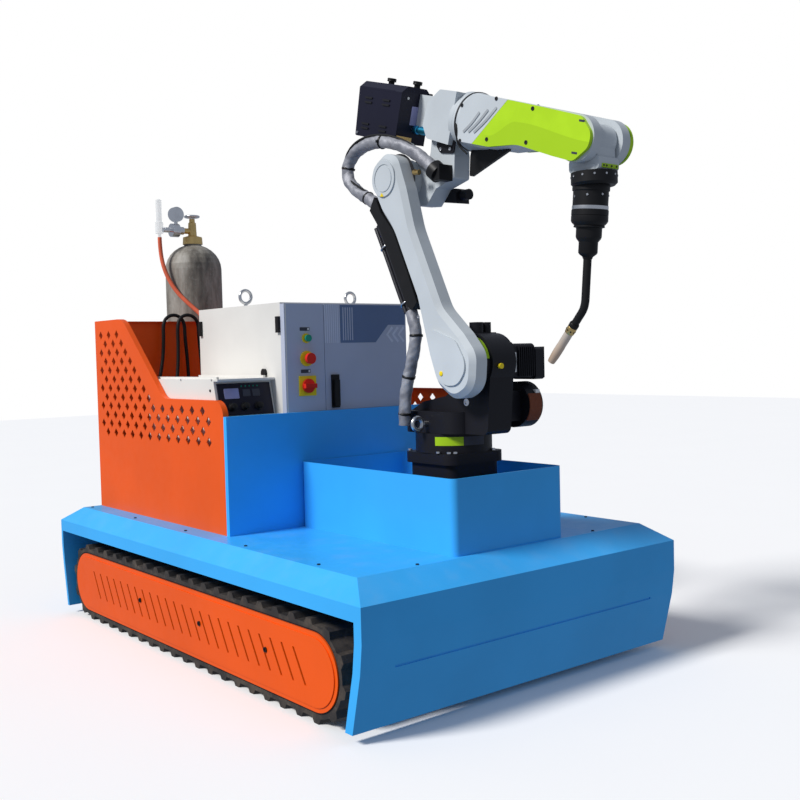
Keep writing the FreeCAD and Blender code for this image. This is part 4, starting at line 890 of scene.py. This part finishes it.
def band(name, first, last, lift, finish, steps=20):
    """A thin film wrapped on the turret's ring between two angles."""
    bm = bmesh.new()
    rows = []
    for index in range(steps + 1):
        angle = math.radians(first + (last - first) * index / steps)
        rows.append([[bm.verts.new(Vector((RING_X + r * math.cos(angle), r * math.sin(angle), z)) * MM)
                      for z in (652, 676)] for r in (RING_RADIUS - 0.3, RING_RADIUS + lift)])
    for before, after in zip(rows, rows[1:]):
        bm.faces.new((before[1][0], after[1][0], after[1][1], before[1][1]))
        bm.faces.new((before[0][1], after[0][1], after[0][0], before[0][0]))
        bm.faces.new((before[0][0], after[0][0], after[1][0], before[1][0]))
        bm.faces.new((before[1][1], after[1][1], after[0][1], before[0][1]))
    bm.faces.new((rows[0][0][0], rows[0][1][0], rows[0][1][1], rows[0][0][1]))
    bm.faces.new((rows[-1][0][1], rows[-1][1][1], rows[-1][1][0], rows[-1][0][0]))
    keep(bm, name, finish, "turret")


band("ring_label", -27, 8, 0.7, LABEL_DARK)
band("ring_label_green", -70, -27.5, 0.8, LIME)
drum_screws = facing(RIGHT, [(SHOULDER.x + 67 * c, -60.3, SHOULDER.z + 67 * s) for c, s in spokes(12, 0.13)])
screws("turret_screws", drum_screws, 4.2, 3.0, DARK_SCREW, "turret", 0.55, 0.7, 16)


# ------------------------ feeder roof and strip
FEEDER_SECTION = face(FORE_ORIGIN, LEFT, FORE_UP)
roof = [(-60.3, 45), (50.3, 45), (50.3, 49), (29, 68), (-39, 68), (-60.3, 49)]
plates("feeder_roof", [roof], -287.0, -80.0, FEEDER_SECTION, NAVY_STEEL, "upper_arm", 0.0, 0.8)
knob_profile = [(0, 0), (9, 0), (9, 8), (13.5, 9), (14, 11), (13, 13), (14, 15), (13.4, 18), (11, 19), (0, 19)]
for name, u in (("feeder_knob_rear", -222), ("feeder_knob_front", -98)):
    lathe(name, knob_profile, fore(u, 6, 67.5), FORE_UP, BLACK_PLASTIC, "upper_arm", 24)
plates("feeder_side_strip", [rectangle(40, -60, 49, 58)], 0.0, 6.0, FEEDER_FRONT, BLACK_CAST, "upper_arm",
       2.0, 0.6)
screws("feeder_strip_dots", facing(FORE_ALONG, [fore(-73.6, 44.5, v) for v in range(50, -51, -20)]), 2.2,
       1.6, STEEL, "upper_arm")
# Painted shade: a dark ring stands in for the gap at the roll joint, whose inside lies in shade.
lathe("roll_gap_painted_shade", [(70, 186), (79.2, 186), (79.2, 190.5), (70, 190.5)], fore(0, 0, 0), tuple(FORE_ALONG),
      DARK_SCREW, "upper_arm", 72)

# ------------------------ cabinet graphics
DOOR = front_face(17.0)
slate = [(-31, 947), (111, 947), (164, 1004), (235, 1004), (235, 1068), (-31, 1068)]
arrows = [strip([(y + 22, 996), (y, 972), (y + 22, 948)], 9.0) for y in (160, 184, 208)]
for name, shapes, low, high, finish, slot, corner in (
        ("slate_band", [slate], -0.2, 0.5, SLATE, "cabinet_paint", 0.0),
        ("pale_stripes", [rectangle(y, 947, y + 3.5, 1068) for y in range(-90, -32, 8)], -0.2, 0.5, STRIPE,
         "cabinet_paint", 0.0),
        ("band_lines", [rectangle(y, 955, y + 4, 1060) for y in range(-20, 17, 9)], 0.4, 0.8, GREY_PAINT,
         "cabinet_paint", 0.0),
        ("chevrons", arrows, -0.2, 0.5, STRIPE, "cabinet_paint", 0.0),
        ("switch_labels", [rectangle(-184, z - 5, -148, z + 6) for z in (991, 860)], -0.2, 0.7, LABEL_DARK,
         "black_plastic", 1.5),
        ("switch_label_corners", [rectangle(-156, z - 3, -150, z + 4) for z in (991, 860)], 0.6, 0.9, WHITE_PLASTIC,
         "cabinet_paint", 0.0),
        ("cabinet_edge", [rectangle(-237, 390, -233, 1068)], -0.2, 0.6, WHITE_PAINT, "cabinet_paint", 0.0)):
    plates(name, shapes, low, high, DOOR, finish, "carrier", corner)

# ------------------------ power source controls
TILT = Vector((-24, 0, 97)).normalized()
PANEL_FOOT = Vector((-40, -342, 733))
PANEL = face(PANEL_FOOT, LEFT, TILT)
PANEL_OUT = Vector(LEFT).cross(TILT)


def on_panel(across, up):
    return PANEL_FOOT + Vector((0, across, 0)) + TILT * up


plates("source_display", [rectangle(-72, 52, -22, 84)], -0.5, 1.6, PANEL, LABEL_BLUE, "carrier",
       3.0, 0.5)
plates("source_fields", [rectangle(-8, 58, 18, 80), rectangle(26, 58, 52, 80)], -0.5, 1.0, PANEL, LABEL_DARK,
       "carrier", 2.0)
knob = [(0, 0), (13, 0), (13, 4), (10, 6), (9.5, 17), (8, 18), (0, 18)]
for index, across in enumerate((-52, -8, 40)):
    lathe("source_knob_" + str(index), knob, on_panel(across, 26), PANEL_OUT, BLACK_PLASTIC, "carrier",
          24)
screws("source_lamps", facing(PANEL_OUT, [on_panel(across, 90) for across in (-10, 4, 18, 32, 46)]), 2.2, 1.6,
       GREEN_CAP, "carrier", 0.6, 0.2)
SOURCE_SIDE_Y = -442.2
screws("source_lid_screws", facing(RIGHT, [(x, SOURCE_SIDE_Y, 842) for x in (-490, -280, -80)]), 3.0, 1.6,
       STEEL, "carrier")
screws("source_side_screws", facing(RIGHT, [(x, SOURCE_SIDE_Y, z) for x in (-495, -90) for z in (600, 810)]), 4.0, 2.0,
       DARK_SCREW, "carrier")

# ------------------------ carrier fasteners
TRACK_COVER_Y = 560.2
for name, y, side in (("cover_bolts", -TRACK_COVER_Y, RIGHT), ("cover_bolts_left", TRACK_COVER_Y, LEFT)):
    screws(name, facing(side, [(x, y, 140) for x in (-381, 16, 382)]), 7.0, 4.0, DARK_SCREW, "carrier",
           0.6, 0.6, 16)
deck_points = [(x, y) for y in (-505, 505) for x in (-880, -520, -160, 200, 560)] + [(738, -330), (738, 330)]
screws("deck_screws", facing(UP, [(x, y, DECK_TOP + 0.1) for x, y in deck_points]), 4.5, 2.6, DARK_SCREW, "carrier",
       0.6, 0.6, 14)

# ------------------------ shoulder details
NECK_SIDE = face(SHOULDER, AHEAD, UP)
turns = [math.radians(8 + 4 * k) for k in range(17)]
label = [(70.7 * math.cos(a), 70.7 * math.sin(a)) for a in turns]
label += [(69.6 * math.cos(a), 69.6 * math.sin(a)) for a in turns[::-1]]
plates("shoulder_label", [label], 64, 84, NECK_SIDE, LIME, "turret")
lathe("turret_plug", [(0, 0), (6.5, 0), (6.5, 9), (7.5, 10), (7.5, 13), (0, 13)], (738, -35, 869), AHEAD, YELLOW,
      "turret", 20)
coil = bmesh.new()
for index in range(9):
    ring = [Vector((653 + 66.0 * math.cos(a), 104 + index * 5.2, 758 + 66.0 * math.sin(a))) * MM
            for a in [math.radians(-40 + 4 * k) for k in range(18)]]
    swept(coil, ring, 2.7, 8, 9.0)
keep(coil, "base_motor_coil", COPPER_WIRE, "turret")
plates("white_connector", [rectangle(690, 778, 712, 800)], 0.0, 16.0, side_face(148.0), WHITE_PLASTIC,
       "turret", 3.0, 1.0)
fins = [rectangle(x, 832, x + 2.4, 918) for x in range(628, 712, 7)]
plates("motor_fins", fins, -2.0, 6.0, face((1340, 163, 0), (-1, 0, 0), UP), BLACK_CAST, "turret",
       0.0, 0.4)
side_fins = [rectangle(y, 838, y + 3.0, 922) for y in range(64, 126, 8)]
plates("motor_side_fins", side_fins, -3.0, 4.0, front_face(714.0), BLACK_CAST, "turret", 0.0, 0.4)
plates("motor_label", [rectangle(43, 850, 57, 904)], -1.0, 0.7, front_face(713.2), WHITE_PLASTIC, "turret",
       2.0)
lathe("turret_port", [(0, 0), (10, 0), (10, 3), (6, 3.4), (6, 1.5), (0, 1.5)], (670, -88, 774), RIGHT, STEEL,
      "turret", 28)

# ------------------------ hose and clips on the cable guard
beside = ((-119.5, 218), (-120.5, 300), (-119.5, 384), (-120.5, 450), (-121, 498))
hose("arm_hose_beside", [link(across, along, -118) for across, along in beside], 6.5, HOSE_BLACK, "lower_arm")
clips = bmesh.new()
for along in (244, 428):
    clip_path = [(Vector(link(-112, along, -115)) + LINK_ACROSS * 19 * math.cos(a) + Vector((0, 12 * math.sin(a), 0)))
                 * MM for a in [math.radians(30 * k) for k in range(13)]]
    swept(clips, clip_path, 2.6, 8, 4.0)
keep(clips, "hose_clips", STEEL, "lower_arm")


# ------------------------ studio
def studio():
    """A pale floor, a cool even sky that the camera sees as white, and one soft sun."""
    floor_mesh = bpy.data.meshes.new("studio_floor")
    floor_mesh.from_pydata([(-14, -14, 0), (14, -14, 0), (14, 14, 0), (-14, 14, 0)], [], [(0, 1, 2, 3)])
    pale = Sheet("studio floor", (0.98, 0.98, 0.98), 0.9)
    pale.set("Base Color", pale.mixed(pale.noise(1.5), (0.97, 0.97, 0.97), (0.99, 0.99, 0.99)))
    floor_mesh.materials.append(pale.finish)
    floor = placed("studio_floor", floor_mesh)
    floor.visible_diffuse = False
    floor.visible_glossy = False

    world = bpy.data.worlds.new("studio")
    world.use_nodes = True
    sky = world.node_tree
    ground = sky.nodes["Background"]
    ground.inputs[0].default_value = (0.82, 0.90, 1.06, 1.0)
    ground.inputs[1].default_value = FILL_STRENGTH
    seen = sky.nodes.new("ShaderNodeBackground")
    seen.inputs[0].default_value = (1.0, 1.0, 1.0, 1.0)
    seen.inputs[1].default_value = 1.0
    ray = sky.nodes.new("ShaderNodeLightPath")
    either = sky.nodes.new("ShaderNodeMixShader")
    for start, end in ((ray.outputs["Is Camera Ray"], either.inputs[0]), (ground.outputs[0], either.inputs[1]),
                       (seen.outputs[0], either.inputs[2]), (either.outputs[0], sky.nodes["World Output"].inputs[0])):
        sky.links.new(start, end)
    bpy.context.scene.world = world

    lamp = bpy.data.lights.new("key", "SUN")
    lamp.energy = KEY_STRENGTH
    lamp.angle = math.radians(14)
    lamp.color = (1.0, 0.98, 0.95)
    key = placed("key", lamp)
    key.rotation_euler = Vector((-0.12, -0.74, 0.66)).to_track_quat("Z", "Y").to_euler()


studio()

scene = bpy.context.scene
scene.view_settings.view_transform = "Standard"

eye = bpy.data.cameras.new("camera")
eye.lens = 46.39
eye.sensor_width = 36.0
eye.clip_end = 60.0
camera = placed("camera", eye)
right = Vector((0.62732517, 0.77836214, -0.02480958))
forward = Vector((-0.77851127, 0.6260076, -0.04510761))
camera.matrix_world = Matrix.Translation((2.7006, -1.9504, 0.9085)) @ Matrix(
    (right, right.cross(forward), -forward)).transposed().to_4x4()
scene.camera = camera
